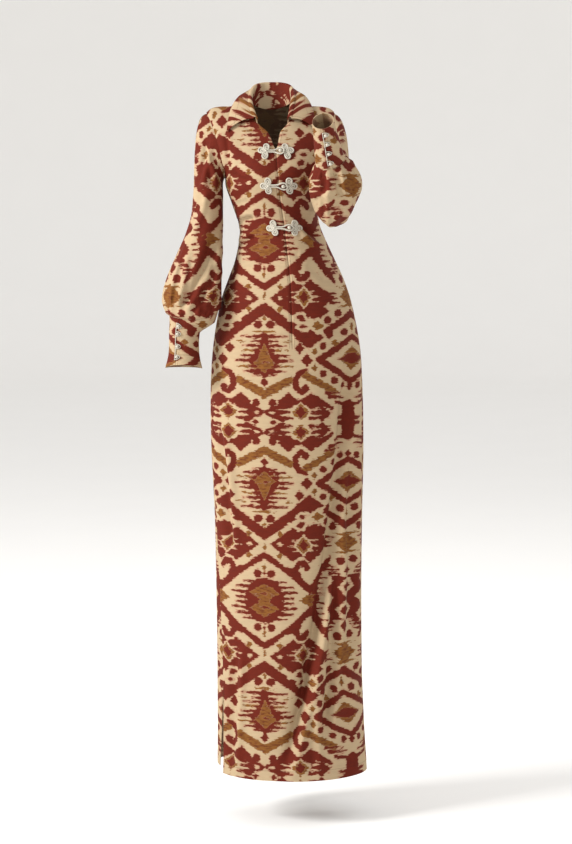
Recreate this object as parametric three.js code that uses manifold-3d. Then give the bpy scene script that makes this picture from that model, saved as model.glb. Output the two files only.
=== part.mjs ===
// Floor-length hostess dress, held in the hollow shape that it has when it is worn.
// Millimetres. +Z is up, the front faces -Y, and +X is the wearer's left.
// The origin is the middle of the neck, at the height where the shoulder seams meet the collar.
import * as THREE from "three";
import Module from "manifold-3d";
import { mergeVertices } from "three/addons/utils/BufferGeometryUtils.js";

const wasm = await Module();
wasm.setup();

// Driving sizes
const CLOTH = 1.5; // thickness of every cloth wall
const SEAM_GAP = 0.3; // between the edges of two pieces that are sewn together
const HEM_Z = -1475;
const BACK_HEM_RISE = 15; // the back panel's corners hang this much higher at the side slits
const ARMPIT_Z = -165;
const SHOULDER_TIP = 140; // from the middle of the body to the top of the sleeve seam
const NECK_HALF = 45; // from the middle of the neck to the shoulder seam's inner end
const BACK_NECK_DROP = 12;
const SLIT_TOP = { left: -1250, right: -1275 };
const SLIT_WIDTH = 16; // at the hem, along the girth
const CORD = 3.6; // diameter of the rouleau cord of the frog closures

// How finely the walls are divided
const YOKE_ROWS = 14; // from the armpit to the shoulder seam, on each side of the sleeve seam
const FRONT_COLUMNS = 10;
const BACK_COLUMNS = 20;
const AROUND_SLEEVE = 2 * YOKE_ROWS;
const CAP_RINGS = 4;

const SIDES = { right: -1, left: 1 }; // the wearer's right lies at -X

// Names the columns of a table of numbers.
const table = (names, rows) =>
  rows.map((row) => Object.fromEntries(names.map((name, i) => [name, row[i]])));

// Body sections by height: half width, depth in front of and behind the side seams, middle of the
// section (the figure sways to its left) and how far the front edge lies from that middle.
const BODY = table(
  ["z", "half", "front", "back", "middle", "opening"],
  [
    [0, 168, 58, 68, 0, 0],
    [-28, 165, 62, 76, 1, 2],
    [-60, 157, 70, 86, 3, 4],
    [-90, 147, 82, 93, 6, 5],
    [-120, 132, 95, 97, 8, 5],
    [-150, 115, 107, 97, 9, 6],
    [-165, 109, 110, 96, 10, 7],
    [-184, 106, 108, 92, 9, 9],
    [-210, 98, 98, 86, 10, 11],
    [-236, 91, 90, 81, 12, 13],
    [-262, 88, 86, 80, 18, 11],
    [-288, 91, 88, 84, 24, 8],
    [-344, 109, 97, 100, 32, 6],
    [-388, 127, 104, 112, 34, 9],
    [-432, 142, 109, 120, 34, 11],
    [-519, 159, 114, 128, 35, 12],
    [-607, 166, 118, 128, 35, 12],
    [-740, 167, 119, 124, 36, 12],
    [-918, 162, 118, 118, 39, 12],
    [-1187, 160, 118, 116, 41, 12],
    [-1368, 163, 122, 120, 45, 12],
    [-1475, 167, 128, 126, 48, 12],
  ],
);

// Heights of the rows of points below the armpit, closest together at the waist.
const BODY_ROW_HEIGHTS = [
  HEM_Z, -1380, -1275, -1170, -1065, -960, -860, -765, -675, -595, -525, -465, -410, -362, -325,
  -295, -270, -245, -220, -192,
];

// Sleeve seam of the body, from the middle of the section.
const ARMHOLE = table(
  ["z", "half"],
  [
    [-26, 140],
    [-45, 134],
    [-79, 125],
    [-135, 114.5],
    [-165, 109],
  ],
);

// Edge of the open neck, from the front edge line.
const NECKLINE = table(
  ["z", "half"],
  [
    [0, 45],
    [-28, 39],
    [-45, 35],
    [-56, 26],
    [-66, 15],
    [-80, 9],
    [-95, 5],
    [-107, 0],
  ],
);

// Height of the shoulder seam by distance from the middle.
const SHOULDER = table(
  ["x", "z"],
  [
    [0, 0],
    [45, 0],
    [76, -10],
    [110, -12],
    [128, -16],
    [140, -26],
    [170, -60],
  ],
);

// How far each side seam runs in front of the side, in degrees: the skirt turns a little as it falls.
const SIDE_SEAM = table(
  ["z", "right", "left"],
  [
    [-165, 0, 0],
    [-600, 0, 10],
    [-780, 4, 18],
    [-1000, 16, 12],
    [-1262, 24, 3],
    [-1475, 20, 2],
  ],
);

// Folds of the body: a line from one point of the front (face -1) or back (face 1) to another, how
// far its middle bows to +X, how deep it is and how wide.
const BODY_FOLDS = table(
  ["face", "x0", "z0", "x1", "z1", "bow", "depth", "width"],
  [
    [-1, 180, -530, 26, -1470, 24, 9, 24],
    [-1, 148, -900, 122, -1400, 6, 6, 18],
    [-1, 186, -740, 196, -1240, -4, 4, 16],
    [-1, -122, -720, -92, -980, 4, 4, 16],
    [-1, -70, -262, -40, -252, 0, 4, 9],
    [-1, -66, -312, -38, -292, 0, 4, 9],
    [-1, 118, -302, 74, -270, 3, 5, 10],
    [-1, -97, -80, -98, -160, 4, 4, 12],
    [1, 150, -560, 40, -1470, -20, 8, 24],
    [1, -70, -620, -50, -1440, 12, 7, 22],
    [1, -64, -285, -20, -262, 0, 5, 10],
    [1, 104, -300, 50, -272, 0, 5, 10],
  ],
);

const BUST = { x: 47, z: -148, width: 38, height: 46, rise: 8 };
const SHOULDER_ROUND = { front: 95, back: 85 }; // how far the rounding of the shoulders reaches down

// Sleeve rings below the cap: centre, half width across the front view, half depth, how far the ring
// sags at its front and back, and how deep its gathers are. The wearer's right arm hangs, and the
// left one is bent with its hand raised before the shoulder.
const RING_COLUMNS = ["x", "y", "z", "half", "deep", "sag", "gather"];
const SLEEVE_RINGS = {
  right: table(RING_COLUMNS, [
    [-134, -4, -206, 33, 46, 0, 0],
    [-137, -11, -252, 35, 46, 0, 0],
    [-145, -19, -300, 42, 49, 0, 0.6],
    [-155, -29, -345, 51, 53, 0, 1.4],
    [-164, -40, -388, 59, 57, 2, 2.4],
    [-169, -47, -420, 63.5, 58, 8, 3],
    [-170, -51, -440, 62.5, 54, 15, 3],
    [-170, -52, -452, 57, 44, 20, 1.2],
  ]),
  left: table(RING_COLUMNS, [
    [143, -50, -152, 25, 48, 0, 0],
    [140, -94, -192, 29, 50, 0, 0],
    [137, -136, -216, 35, 51, 0, 0.8],
    [135, -176, -217, 42, 52, 0, 1.6],
    [135, -207, -198, 51, 52, 0, 2.4],
    [134, -229, -175, 54, 49, 0, 3],
    [130, -245, -152, 46, 43, 0, 3],
    [125, -257, -133, 31, 33, 0, 1],
  ]),
};
const GATHERS = 7; // waves round a sleeve where it is gathered into its cuff

// Cuff rings after the one that it shares with its sleeve.
const CUFF_RINGS = {
  right: table(RING_COLUMNS, [
    [-183, -56, -484, 37, 36, 3, 0],
    [-186.5, -58, -506, 33, 33, 0, 0],
    [-187, -62, -545, 33.5, 33, 0, 0],
    [-187.5, -65, -576, 40, 36, -6, 0],
  ]),
  left: table(RING_COLUMNS, [
    [121, -272, -114, 29, 32, 0, 0],
    [117, -288, -93, 26.5, 30, 0, 0],
    [113, -303, -73, 24, 29, 0, 0],
    [109, -318, -53, 22.5, 28, 0, 0],
  ]),
};
const CUFF_SLIT_AT = { right: 5, left: 21 }; // which of the points round the cuff its slit is at
const CUFF_SLIT_GAP = 0.8;
const CUFF_BUTTONS = { right: [0.3, 0.48, 0.66, 0.84], left: [0.2, 0.42, 0.64, 0.86] }; // along the cuff
const CUFF_BUTTON_RADIUS = 3.6;

// Half of the collar from its front end to the middle of the back: the roll line, the outer edge
// (face -1 lies on the front, 0 on the shoulder seam and 1 on the back), and how far the fall
// bulges outwards and upwards between them.
const COLLAR = table(
  ["neck", "rollX", "rollY", "rollZ", "edgeX", "edgeZ", "face", "belly", "rise"],
  [
    [-46, 37, -62, -40, 97, -69, -1, 2, 16],
    [-30, 42, -48, -22, 93, -46, -1, 4, 12],
    [-12, 46, -28, -4, 88, -24, -1, 6, 9],
    [0, 46, 2, 15, 80, -10, 0, 10, 14],
    [-5, 38, 34, 31, 64, -22, 1, 12, 9],
    [-10, 21, 51, 37, 35, -32, 1, 8, 1],
    [-12, 0, 56, 38, 0, -35, 1, 6, -2],
  ],
);
const COLLAR_COLUMNS = 26;
const ROLL_RADIUS = 3.6;
const COLLAR_CLEAR = 3; // between the fall's edge and the cloth under it

// Frog closures down the front opening: height, and how far their two trefoils are turned.
const FROGS = table(
  ["z", "turn"],
  [
    [-111, 12],
    [-183, 0],
    [-273, -6],
  ],
);
const FROG = { reach: 21, lobe: 15.5, lobeWidth: 10, knot: 4.2, loop: 6.4, clear: 0.8 };

const COLOURS = {
  cloth: { color: 0xa8604a, roughness: 0.85, metalness: 0 },
  cord: { color: 0xe9dfc8, roughness: 0.6, metalness: 0 },
};

const radians = (degrees) => (degrees * Math.PI) / 180;
const lerp = (a, b, t) => a + (b - a) * t;
const vector = (x, y, z) => new THREE.Vector3(x, y, z);
const range = (count) => Array.from({ length: count }, (_, i) => i);
const clamp = (value, low, high) => Math.min(high, Math.max(low, value));

// A smooth curve through one column of a table, by the values of its key column.
function column(rows, key, name, value) {
  const up = rows[0][key] < rows[rows.length - 1][key];
  const sorted = up ? rows : [...rows].reverse();
  const last = sorted.length - 1;
  if (value <= sorted[0][key]) return sorted[0][name];
  if (value >= sorted[last][key]) return sorted[last][name];
  const i = sorted.findIndex((row) => row[key] > value) - 1;
  const [a, b] = [sorted[i], sorted[i + 1]];
  const width = b[key] - a[key];
  const slope = (j) => {
    const [before, after] = [sorted[Math.max(j - 1, 0)], sorted[Math.min(j + 1, last)]];
    return (after[name] - before[name]) / (after[key] - before[key]);
  };
  const t = (value - a[key]) / width;
  const [t2, t3] = [t * t, t * t * t];
  return (
    (2 * t3 - 3 * t2 + 1) * a[name] +
    (t3 - 2 * t2 + t) * width * slope(i) +
    (3 * t2 - 2 * t3) * b[name] +
    (t3 - t2) * width * slope(i + 1)
  );
}

// A smooth curve through a whole table's rows, by position from 0 to 1.
function along(rows, t) {
  const last = rows.length - 1;
  const numbered = rows.map((row, i) => ({ ...row, place: i / last }));
  return Object.fromEntries(
    Object.keys(rows[0]).map((name) => [name, column(numbered, "place", name, t)]),
  );
}

const shoulderZ = (x, z) => column(SHOULDER, "x", "z", Math.abs(x - column(BODY, "z", "middle", z)));

// How far a fold pushes the cloth out at a point: a trough with a softer ridge beside it.
function foldOffset(face, x, z) {
  return BODY_FOLDS.filter((fold) => fold.face === face).reduce((sum, fold) => {
    const [dx, dz] = [fold.x1 - fold.x0, fold.z1 - fold.z0];
    const long = Math.hypot(dx, dz);
    const t = ((x - fold.x0) * dx + (z - fold.z0) * dz) / long ** 2;
    const bowed = fold.bow * 4 * clamp(t, 0, 1) * (1 - clamp(t, 0, 1));
    const off = ((x - fold.x0) * -dz + (z - fold.z0) * dx) / long - bowed;
    const fade = clamp(Math.sin(Math.PI * clamp(t, 0, 1)) * 2.2, 0, 1);
    const trough = Math.exp(-((off / fold.width) ** 2));
    const ridge = Math.exp(-(((off - 1.7 * fold.width) / fold.width) ** 2));
    return sum + fade * fold.depth * (0.55 * ridge - trough);
  }, 0);
}

function bustOffset(x, z, middle) {
  const across = (Math.abs(x - middle) - BUST.x) / BUST.width;
  return BUST.rise * Math.exp(-(across ** 2) - ((z - BUST.z) / BUST.height) ** 2);
}

// Outer surface of the body: angle 0 is the middle of the front, and 90 degrees is at +X.
function bodyPoint(angle, z) {
  const row = (name) => column(BODY, "z", name, z);
  const [half, middle] = [row("half"), row("middle")];
  const inFront = Math.cos(angle) > 0;
  const depth = inFront ? row("front") : row("back");
  const round = inFront ? SHOULDER_ROUND.front : SHOULDER_ROUND.back;
  const x = middle + half * Math.sin(angle);
  const below = clamp((shoulderZ(x, z) - z) / round, 0, 1);
  const rounding = Math.sqrt(1 - (1 - below) ** 2);
  const normal = vector(Math.sin(angle) / half, -Math.cos(angle) / depth, 0).normalize();
  const sideFade = Math.abs(Math.cos(angle)) ** 0.5;
  const offset =
    (foldOffset(inFront ? -1 : 1, x, z) + (inFront ? bustOffset(x, z, middle) : 0)) * sideFade;
  return vector(x, -depth * Math.cos(angle) * rounding, z).addScaledVector(normal, offset * rounding);
}

// The angle at which the body's surface lies at a given X.
function angleAt(x, z) {
  const [half, middle] = [column(BODY, "z", "half", z), column(BODY, "z", "middle", z)];
  return Math.asin(clamp((x - middle) / half, -1, 1));
}

function bodyNormal(angle, z) {
  const [turn, rise] = [0.01, 0.8];
  const onSeam = shoulderZ(bodyPoint(angle, z).x, z) - z < 2 * rise;
  if (onSeam) return vector(Math.sign(Math.sin(angle)) * 0.25, 0, 1).normalize();
  const girth = bodyPoint(angle + turn, z).sub(bodyPoint(angle - turn, z));
  const up = bodyPoint(angle, z + rise).sub(bodyPoint(angle, z - rise));
  return girth.cross(up).normalize();
}

// Turns a grid of outer points and the matching inner points into one closed solid. The grid's
// last column joins its first where the wall goes all the way round.
function wall(outer, inner, round = false) {
  const [rows, columns] = [outer.length, outer[0].length];
  const points = [...outer.flat(), ...inner.flat()];
  const at = (layer, row, place) => layer * rows * columns + row * columns + (place % columns);
  const faces = [];
  const quad = (a, b, c, d) => faces.push(a, b, c, a, c, d);
  const steps = round ? columns : columns - 1;
  for (const c of range(steps)) {
    for (const r of range(rows - 1)) {
      quad(at(0, r, c), at(0, r, c + 1), at(0, r + 1, c + 1), at(0, r + 1, c));
      quad(at(1, r, c), at(1, r + 1, c), at(1, r + 1, c + 1), at(1, r, c + 1));
    }
    quad(at(0, 0, c), at(1, 0, c), at(1, 0, c + 1), at(0, 0, c + 1));
    quad(at(0, rows - 1, c), at(0, rows - 1, c + 1), at(1, rows - 1, c + 1), at(1, rows - 1, c));
  }
  if (!round)
    for (const r of range(rows - 1)) {
      const end = columns - 1;
      quad(at(0, r, 0), at(0, r + 1, 0), at(1, r + 1, 0), at(1, r, 0));
      quad(at(0, r, end), at(1, r, end), at(1, r + 1, end), at(0, r + 1, end));
    }
  return geometryOf(points, faces);
}

// A geometry with its faces pointing outwards.
function geometryOf(points, faces) {
  const volume = range(faces.length / 3).reduce((sum, i) => {
    const [a, b, c] = [0, 1, 2].map((k) => points[faces[3 * i + k]]);
    return sum + a.dot(b.clone().cross(c)) / 6;
  }, 0);
  const facing = volume > 0 ? faces : [...faces].reverse();
  return new THREE.BufferGeometry()
    .setAttribute("position", new THREE.Float32BufferAttribute(points.flatMap((p) => p.toArray()), 3))
    .setIndex(facing);
}

// A cord of round section along points; a closed one comes back to its start.
function cord(points, radius, closed, sides) {
  const last = points.length - 1;
  const rings = points.map((point, i) => {
    const before = points[closed ? (i + last) % (last + 1) : Math.max(i - 1, 0)];
    const after = points[closed ? (i + 1) % (last + 1) : Math.min(i + 1, last)];
    const forward = after.clone().sub(before).normalize();
    const side = forward.clone().cross(vector(0, -1, 0)).normalize();
    const up = side.clone().cross(forward);
    return range(sides).map((k) => {
      const turn = (2 * Math.PI * (k + 0.5)) / sides;
      const across = side.clone().multiplyScalar(Math.cos(turn) * radius);
      return point.clone().add(across).addScaledVector(up, Math.sin(turn) * radius);
    });
  });
  const at = (ring, k) => (ring % points.length) * sides + (k % sides);
  const faces = [];
  for (const i of range(closed ? points.length : last))
    for (const k of range(sides))
      faces.push(at(i, k), at(i + 1, k), at(i + 1, k + 1), at(i, k), at(i + 1, k + 1), at(i, k + 1));
  if (!closed)
    for (const k of range(sides - 2)) {
      faces.push(at(0, 0), at(0, k + 1), at(0, k + 2));
      faces.push(at(last, 0), at(last, k + 2), at(last, k + 1));
    }
  return geometryOf(rings.flat(), faces);
}

function ball(centre, radius) {
  return new THREE.SphereGeometry(radius, 7, 5).translate(centre.x, centre.y, centre.z);
}

// Joins overlapping closed geometries into one.
function fuse(geometries) {
  const solids = geometries.map((geometry) => {
    const bare = geometry.clone();
    bare.deleteAttribute("normal");
    bare.deleteAttribute("uv");
    const merged = mergeVertices(bare, 1e-3);
    return new wasm.Manifold(
      new wasm.Mesh({
        numProp: 3,
        vertProperties: merged.attributes.position.array,
        triVerts: new Uint32Array(merged.index.array),
      }),
    );
  });
  const mesh = solids.reduce((joined, solid) => joined.add(solid)).getMesh();
  return new THREE.BufferGeometry()
    .setAttribute("position", new THREE.BufferAttribute(mesh.vertProperties, 3))
    .setIndex(new THREE.BufferAttribute(mesh.triVerts, 1));
}

// Inner points of a body panel, straight through the cloth from its outer points.
const throughCloth = (places) =>
  places.map((row) =>
    row.map(({ angle, z }) =>
      bodyPoint(angle, z).addScaledVector(bodyNormal(angle, z), -CLOTH),
    ),
  );

// Moves a panel's place round the body by a distance along the girth.
function shifted(angle, z, distance) {
  const step = bodyPoint(angle + 0.01, z).distanceTo(bodyPoint(angle - 0.01, z)) / 0.02;
  return angle + distance / step;
}

const frontEdgeX = (z) => column(BODY, "z", "middle", z) + column(BODY, "z", "opening", z);

// The share of the way up from the armpit to the shoulder seam of each yoke row, closer together
// where the shoulders round over.
const yokeShare = (row) => Math.sin((row / YOKE_ROWS) * (Math.PI / 2));

const yokeZ = (share, x, top) => ARMPIT_Z + share * (top(x) - ARMPIT_Z);

// How much of the slit's width one panel gives up at a height.
function slitInset(side, z) {
  const open = clamp((SLIT_TOP[side] - z) / (SLIT_TOP[side] - HEM_Z), 0, 1);
  return (SLIT_WIDTH / 2) * open;
}

const seamAngle = (side, z) => {
  const forward = column(SIDE_SEAM, "z", side, z);
  return SIDES[side] * radians(90 - forward);
};

// Places of one front panel: rows from the hem up, and columns from the front edge to the side.
function frontPlaces(side) {
  const sign = SIDES[side];
  const span = (from, to, place) =>
    range(FRONT_COLUMNS + 1).map((c) => place(lerp(from, to, c / FRONT_COLUMNS)));
  const skirt = BODY_ROW_HEIGHTS.map((z) => {
    const from = shifted(angleAt(frontEdgeX(z), z), z, (sign * SEAM_GAP) / 2);
    const inset = SEAM_GAP / 2 + slitInset(side, z);
    const to = shifted(seamAngle(side, z), z, -sign * inset);
    return span(from, to, (angle) => ({ angle, z }));
  });
  const yoke = range(YOKE_ROWS + 1).map((r) => {
    const share = yokeShare(r);
    const [innerZ, outerZ] = [yokeZ(share, 0, () => 0), yokeZ(share, 0, () => -26)];
    const edge = frontEdgeX(innerZ) + sign * Math.max(column(NECKLINE, "z", "half", innerZ), SEAM_GAP / 2);
    const middle = column(BODY, "z", "middle", outerZ);
    const seam = middle + sign * (column(ARMHOLE, "z", "half", outerZ) - (r ? 0 : 1e-6));
    const [from, to] = [angleAt(edge, innerZ), angleAt(seam, outerZ)];
    return span(from, to, (angle) => {
      const reach = (angle - from) / (to - from);
      const reference = lerp(innerZ, outerZ, reach);
      const x = column(BODY, "z", "middle", reference) +
        column(BODY, "z", "half", reference) * Math.sin(angle);
      const z = yokeZ(share, x, (at) => shoulderZ(at, reference));
      return { angle: angleAt(x, z), z };
    });
  });
  return [...skirt, ...yoke];
}

// Places of the back, from the left side seam round to the right one.
function backPlaces() {
  const around = (from, to, place) =>
    range(BACK_COLUMNS + 1).map((c) => place(lerp(from, to, c / BACK_COLUMNS)));
  const skirt = BODY_ROW_HEIGHTS.map((z) => {
    const edge = (side) => {
      const inset = SEAM_GAP / 2 + slitInset(side, z);
      return shifted(seamAngle(side, z), z, SIDES[side] * inset);
    };
    const rise = z === HEM_Z ? BACK_HEM_RISE : 0;
    return around(edge("left"), edge("right") + 2 * Math.PI, (angle) => ({
      angle,
      z: z + rise * Math.sin(angle) ** 2,
    }));
  });
  const top = (x) => {
    const inNeck = Math.abs(x) < NECK_HALF;
    return inNeck ? -BACK_NECK_DROP * (1 - (x / NECK_HALF) ** 2) : shoulderZ(x, 0);
  };
  const yoke = range(YOKE_ROWS + 1).map((r) => {
    const share = yokeShare(r);
    const outerZ = yokeZ(share, 0, () => -26);
    const middle = column(BODY, "z", "middle", outerZ);
    const half = column(ARMHOLE, "z", "half", outerZ) - (r ? 0 : 1e-6);
    const from = angleAt(middle + half, outerZ);
    return around(Math.PI - from, Math.PI + from, (angle) => {
      const x = middle + column(BODY, "z", "half", outerZ) * Math.sin(angle);
      const z = yokeZ(share, x, top);
      return { angle: Math.PI - angleAt(x, z), z };
    });
  });
  return [...skirt, ...yoke];
}

// A panel's solid, moved by half a seam gap away from the shoulder and side seams in depth.
function panel(places, face) {
  const outer = places.map((row) => row.map(({ angle, z }) => bodyPoint(angle, z)));
  const inner = throughCloth(places);
  const apart = (grid) =>
    grid.map((row, r) =>
      row.map((point) =>
        r < BODY_ROW_HEIGHTS.length ? point : point.setY(face * Math.max(face * point.y, SEAM_GAP / 2)),
      ),
    );
  return wall(apart(outer), apart(inner));
}

// The armhole as the sleeve meets it: round from the shoulder tip by the front to the armpit, and
// by the back up to the tip again. Each point is a seam's gap inside the hole, with the direction
// in which the sleeve leaves it and the normal of the sleeve's cloth.
function armhole(side) {
  const sign = SIDES[side];
  const rows = range(YOKE_ROWS + 1).reverse();
  const half = (face) =>
    rows.map((r) => {
      const z = yokeZ(yokeShare(r), 0, () => -26);
      const x = column(BODY, "z", "middle", z) + sign * column(ARMHOLE, "z", "half", z);
      const fromFront = angleAt(x, z);
      const angle = face < 0 ? fromFront : Math.PI - fromFront;
      return { point: bodyPoint(angle, z), normal: bodyNormal(angle, z) };
    });
  const ring = [...half(-1), ...half(1).reverse().slice(1, -1)];
  const centre = vector(sign * (SHOULDER_TIP - 12), 0, ARMPIT_Z / 2);
  return ring.map(({ point, normal }, k) => {
    const [after, before] = [ring[(k + 1) % ring.length], ring[(k + ring.length - 1) % ring.length]];
    const edge = after.point.clone().sub(before.point).normalize();
    const inwards = centre.clone().sub(point);
    const facing = (direction, towards) =>
      direction.dot(towards) < 0 ? direction.negate() : direction;
    const intoHole = facing(edge.clone().cross(normal).normalize(), inwards);
    const leaving = vector(sign, 0, -0.3).normalize();
    const sleeveNormal = facing(edge.clone().cross(leaving).normalize(), inwards).negate();
    return { point: point.clone().addScaledVector(intoHole, 2 * SEAM_GAP), sleeveNormal, leaving };
  });
}

// One ring of a sleeve or cuff, square to its path, at a position along its table.
function ringFrame(rings, t, side) {
  const step = 0.02;
  const row = along(rings, t);
  const [a, b] = [along(rings, clamp(t - step, 0, 1)), along(rings, clamp(t + step, 0, 1))];
  const forward = vector(b.x - a.x, b.y - a.y, b.z - a.z).normalize();
  const out = vector(SIDES[side], 0, 0).projectOnPlane(forward).normalize();
  const front = out.clone().cross(forward).multiplyScalar(-SIDES[side]);
  return { ...row, centre: vector(row.x, row.y, row.z), forward, out, front };
}

function ringPoint(frame, turn, inset = 0) {
  const wave = frame.gather * Math.cos(GATHERS * turn);
  const droop = -frame.sag * Math.abs(Math.sin(turn)) * (Math.sin(turn) > 0 ? 1 : 0.5);
  return frame.centre
    .clone()
    .addScaledVector(frame.out, (frame.half + wave - inset) * Math.cos(turn))
    .addScaledVector(frame.front, (frame.deep + wave - inset) * Math.sin(turn))
    .add(vector(0, 0, droop));
}

const turnAt = (k) => (2 * Math.PI * k) / AROUND_SLEEVE;

// A sleeve: a cap that leaves the armhole and turns down the arm, then the rings of its table.
function sleeve(side) {
  const rings = SLEEVE_RINGS[side];
  const start = ringFrame(rings, 0, side);
  const hole = armhole(side);
  const cap = (k, t, inset) => {
    const { point, sleeveNormal, leaving } = hole[k];
    const from = point.clone().addScaledVector(sleeveNormal, -inset);
    const to = ringPoint(start, turnAt(k), inset);
    const reach = from.distanceTo(to);
    const [t2, t3] = [t * t, t * t * t];
    return from
      .multiplyScalar(2 * t3 - 3 * t2 + 1)
      .addScaledVector(leaving, (t3 - 2 * t2 + t) * reach * 0.6)
      .addScaledVector(to, 3 * t2 - 2 * t3)
      .addScaledVector(start.forward, (t3 - t2) * reach * 1.1);
  };
  const layer = (inset) => [
    ...range(CAP_RINGS).map((r) =>
      range(AROUND_SLEEVE).map((k) => cap(k, r / CAP_RINGS, inset)),
    ),
    ...range(rings.length).map((r) => {
      const frame = ringFrame(rings, r / (rings.length - 1), side);
      return range(AROUND_SLEEVE).map((k) => ringPoint(frame, turnAt(k), inset));
    }),
  ];
  return wall(layer(0), layer(CLOTH), true);
}

// A cuff: an open tube from the sleeve's last ring, slit from its top to its hem.
function cuffLayer(side, inset) {
  const sleeveEnd = ringFrame(SLEEVE_RINGS[side], 1, side);
  const top = { ...sleeveEnd, centre: sleeveEnd.centre.clone().addScaledVector(sleeveEnd.forward, SEAM_GAP) };
  const last = SLEEVE_RINGS[side].at(-1);
  const rings = [{ ...last, gather: 0 }, ...CUFF_RINGS[side]];
  const frames = rings.map((_, r) => (r ? ringFrame(rings, r / (rings.length - 1), side) : top));
  const slit = CUFF_SLIT_AT[side];
  return frames.map((frame) =>
    range(AROUND_SLEEVE + 1).map((k) => {
      const ends = k === 0 ? 1 : k === AROUND_SLEEVE ? -1 : 0;
      const turn = turnAt(slit + k) + (ends * CUFF_SLIT_GAP) / 2 / frame.half;
      return ringPoint(frame, turn, inset);
    }),
  );
}

const cuff = (side) => wall(cuffLayer(side, 0), cuffLayer(side, CLOTH));

// Where a cuff's slit lies: a point on it at a share of its length, with the directions out of the
// cloth, along the slit and round the cuff.
function cuffPlace(side, share) {
  const rings = [{ ...SLEEVE_RINGS[side].at(-1), gather: 0 }, ...CUFF_RINGS[side]];
  const last = rings.length - 1;
  const before = Math.min(Math.floor(share * last), last - 1);
  const turn = turnAt(CUFF_SLIT_AT[side]);
  const [start, end] = [before, before + 1].map((i) => ringFrame(rings, i / last, side));
  const onCuff = (angle) =>
    ringPoint(start, angle).lerp(ringPoint(end, angle), share * last - before);
  const point = onCuff(turn);
  const around = onCuff(turn + 0.05).sub(point).normalize();
  const forward = ringPoint(end, turn).sub(ringPoint(start, turn)).normalize();
  const out = around.clone().cross(forward).normalize();
  if (out.dot(point.clone().sub(start.centre)) < 0) out.negate();
  return { point, out, around, forward };
}

// A small ball button beside the slit.
function cuffButton(side, share) {
  const { point, out, around } = cuffPlace(side, share);
  const centre = point.addScaledVector(out, CUFF_BUTTON_RADIUS + 0.5).addScaledVector(around, 3.2);
  return ball(centre, CUFF_BUTTON_RADIUS);
}

// The strip of loops on the slit's other edge: one cord along the slit, with a loop to each button.
function cuffLoops(side) {
  const [radius, lift] = [0.8, 1.6];
  const shares = CUFF_BUTTONS[side];
  const [first, last] = [shares[0] - 0.06, shares.at(-1) + 0.06];
  const strip = range(9).map((i) => {
    const { point, out, around } = cuffPlace(side, lerp(first, last, i / 8));
    return point.addScaledVector(out, lift).addScaledVector(around, -2.6);
  });
  const loops = shares.map((share) => {
    const { point, out, around, forward } = cuffPlace(side, share);
    return range(7).map((i) => {
      const turn = (Math.PI * i) / 6;
      return point
        .clone()
        .addScaledVector(out, lift)
        .addScaledVector(around, lerp(-2.8, 9.2, Math.sin(turn)))
        .addScaledVector(forward, 5.2 * Math.cos(turn));
    });
  });
  return fuse([strip, ...loops].map((points) => cord(points, radius, false, 4)));
}

// One cross-section of the collar, from its neck seam over the roll to its outer edge. Station 0 is
// at one front end, 1 at the middle of the back and 2 at the other front end.
function collarSection(station, inset) {
  const sign = station <= 1 ? -1 : 1;
  const place = station <= 1 ? station : 2 - station;
  const row = along(COLLAR, place);
  const inFront = place < 0.5;
  const neckX = inFront
    ? frontEdgeX(row.neck) + sign * column(NECKLINE, "z", "half", row.neck)
    : sign * NECK_HALF * Math.sqrt(clamp(1 + row.neck / BACK_NECK_DROP, 0, 1));
  const neckAngle = inFront ? angleAt(neckX, row.neck) : Math.PI - angleAt(neckX, row.neck);
  const seat = bodyPoint(neckAngle, row.neck);
  const seam = seat.clone().addScaledVector(bodyNormal(neckAngle, row.neck), 0.7);
  const middle = lerp(frontEdgeX(row.neck), 4, clamp(2 * place, 0, 1));
  const roll = vector(middle + sign * row.rollX, row.rollY, row.rollZ);
  const edgeX = middle + sign * row.edgeX;
  const onFront = angleAt(edgeX, row.edgeZ);
  const edgeAngle = row.face < 0 ? onFront : Math.PI - onFront;
  const clear = bodyNormal(edgeAngle, row.edgeZ);
  const edge = bodyPoint(edgeAngle, row.edgeZ).addScaledVector(clear, COLLAR_CLEAR);
  const out = edge.clone().sub(seam).setZ(0).normalize();
  const control = roll
    .clone()
    .lerp(edge, 0.5)
    .addScaledVector(out, row.belly)
    .add(vector(0, 0, row.rise));
  const fall = (t) =>
    roll
      .clone()
      .addScaledVector(out, ROLL_RADIUS)
      .multiplyScalar((1 - t) ** 2)
      .addScaledVector(control, 2 * t * (1 - t))
      .addScaledVector(edge, t * t);
  const bend = ROLL_RADIUS - inset;
  const turned = (degrees) =>
    roll
      .clone()
      .addScaledVector(out, -Math.cos(radians(degrees)) * bend)
      .add(vector(0, 0, Math.sin(radians(degrees)) * bend));
  const down = (t) => {
    const ahead = fall(Math.min(t + 0.05, 1)).sub(fall(Math.max(t - 0.05, 0)));
    const sideways = vector(0, 0, 1).cross(out);
    return ahead.cross(sideways).normalize();
  };
  const under = (t) => {
    const normal = down(t);
    if (normal.z > 0) normal.negate();
    return fall(t).addScaledVector(normal, inset);
  };
  return [
    seam.clone().addScaledVector(out, inset),
    seam.clone().lerp(turned(0), 0.55).addScaledVector(out, inset * 0.4),
    turned(15),
    turned(90),
    turned(165),
    under(0.3),
    under(0.62),
    under(1),
  ];
}

function collar() {
  const layer = (inset) =>
    range(COLLAR_COLUMNS + 1).map((c) => collarSection((2 * c) / COLLAR_COLUMNS, inset));
  return wall(layer(0), layer(CLOTH));
}

// A point on the front near the opening: across from the front edge, up from the closure's
// height and out from the cloth.
function onFront(z, across, up, out) {
  const height = z + up;
  const angle = angleAt(frontEdgeX(height) + across, height);
  return bodyPoint(angle, height).addScaledVector(bodyNormal(angle, height), out);
}

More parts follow.
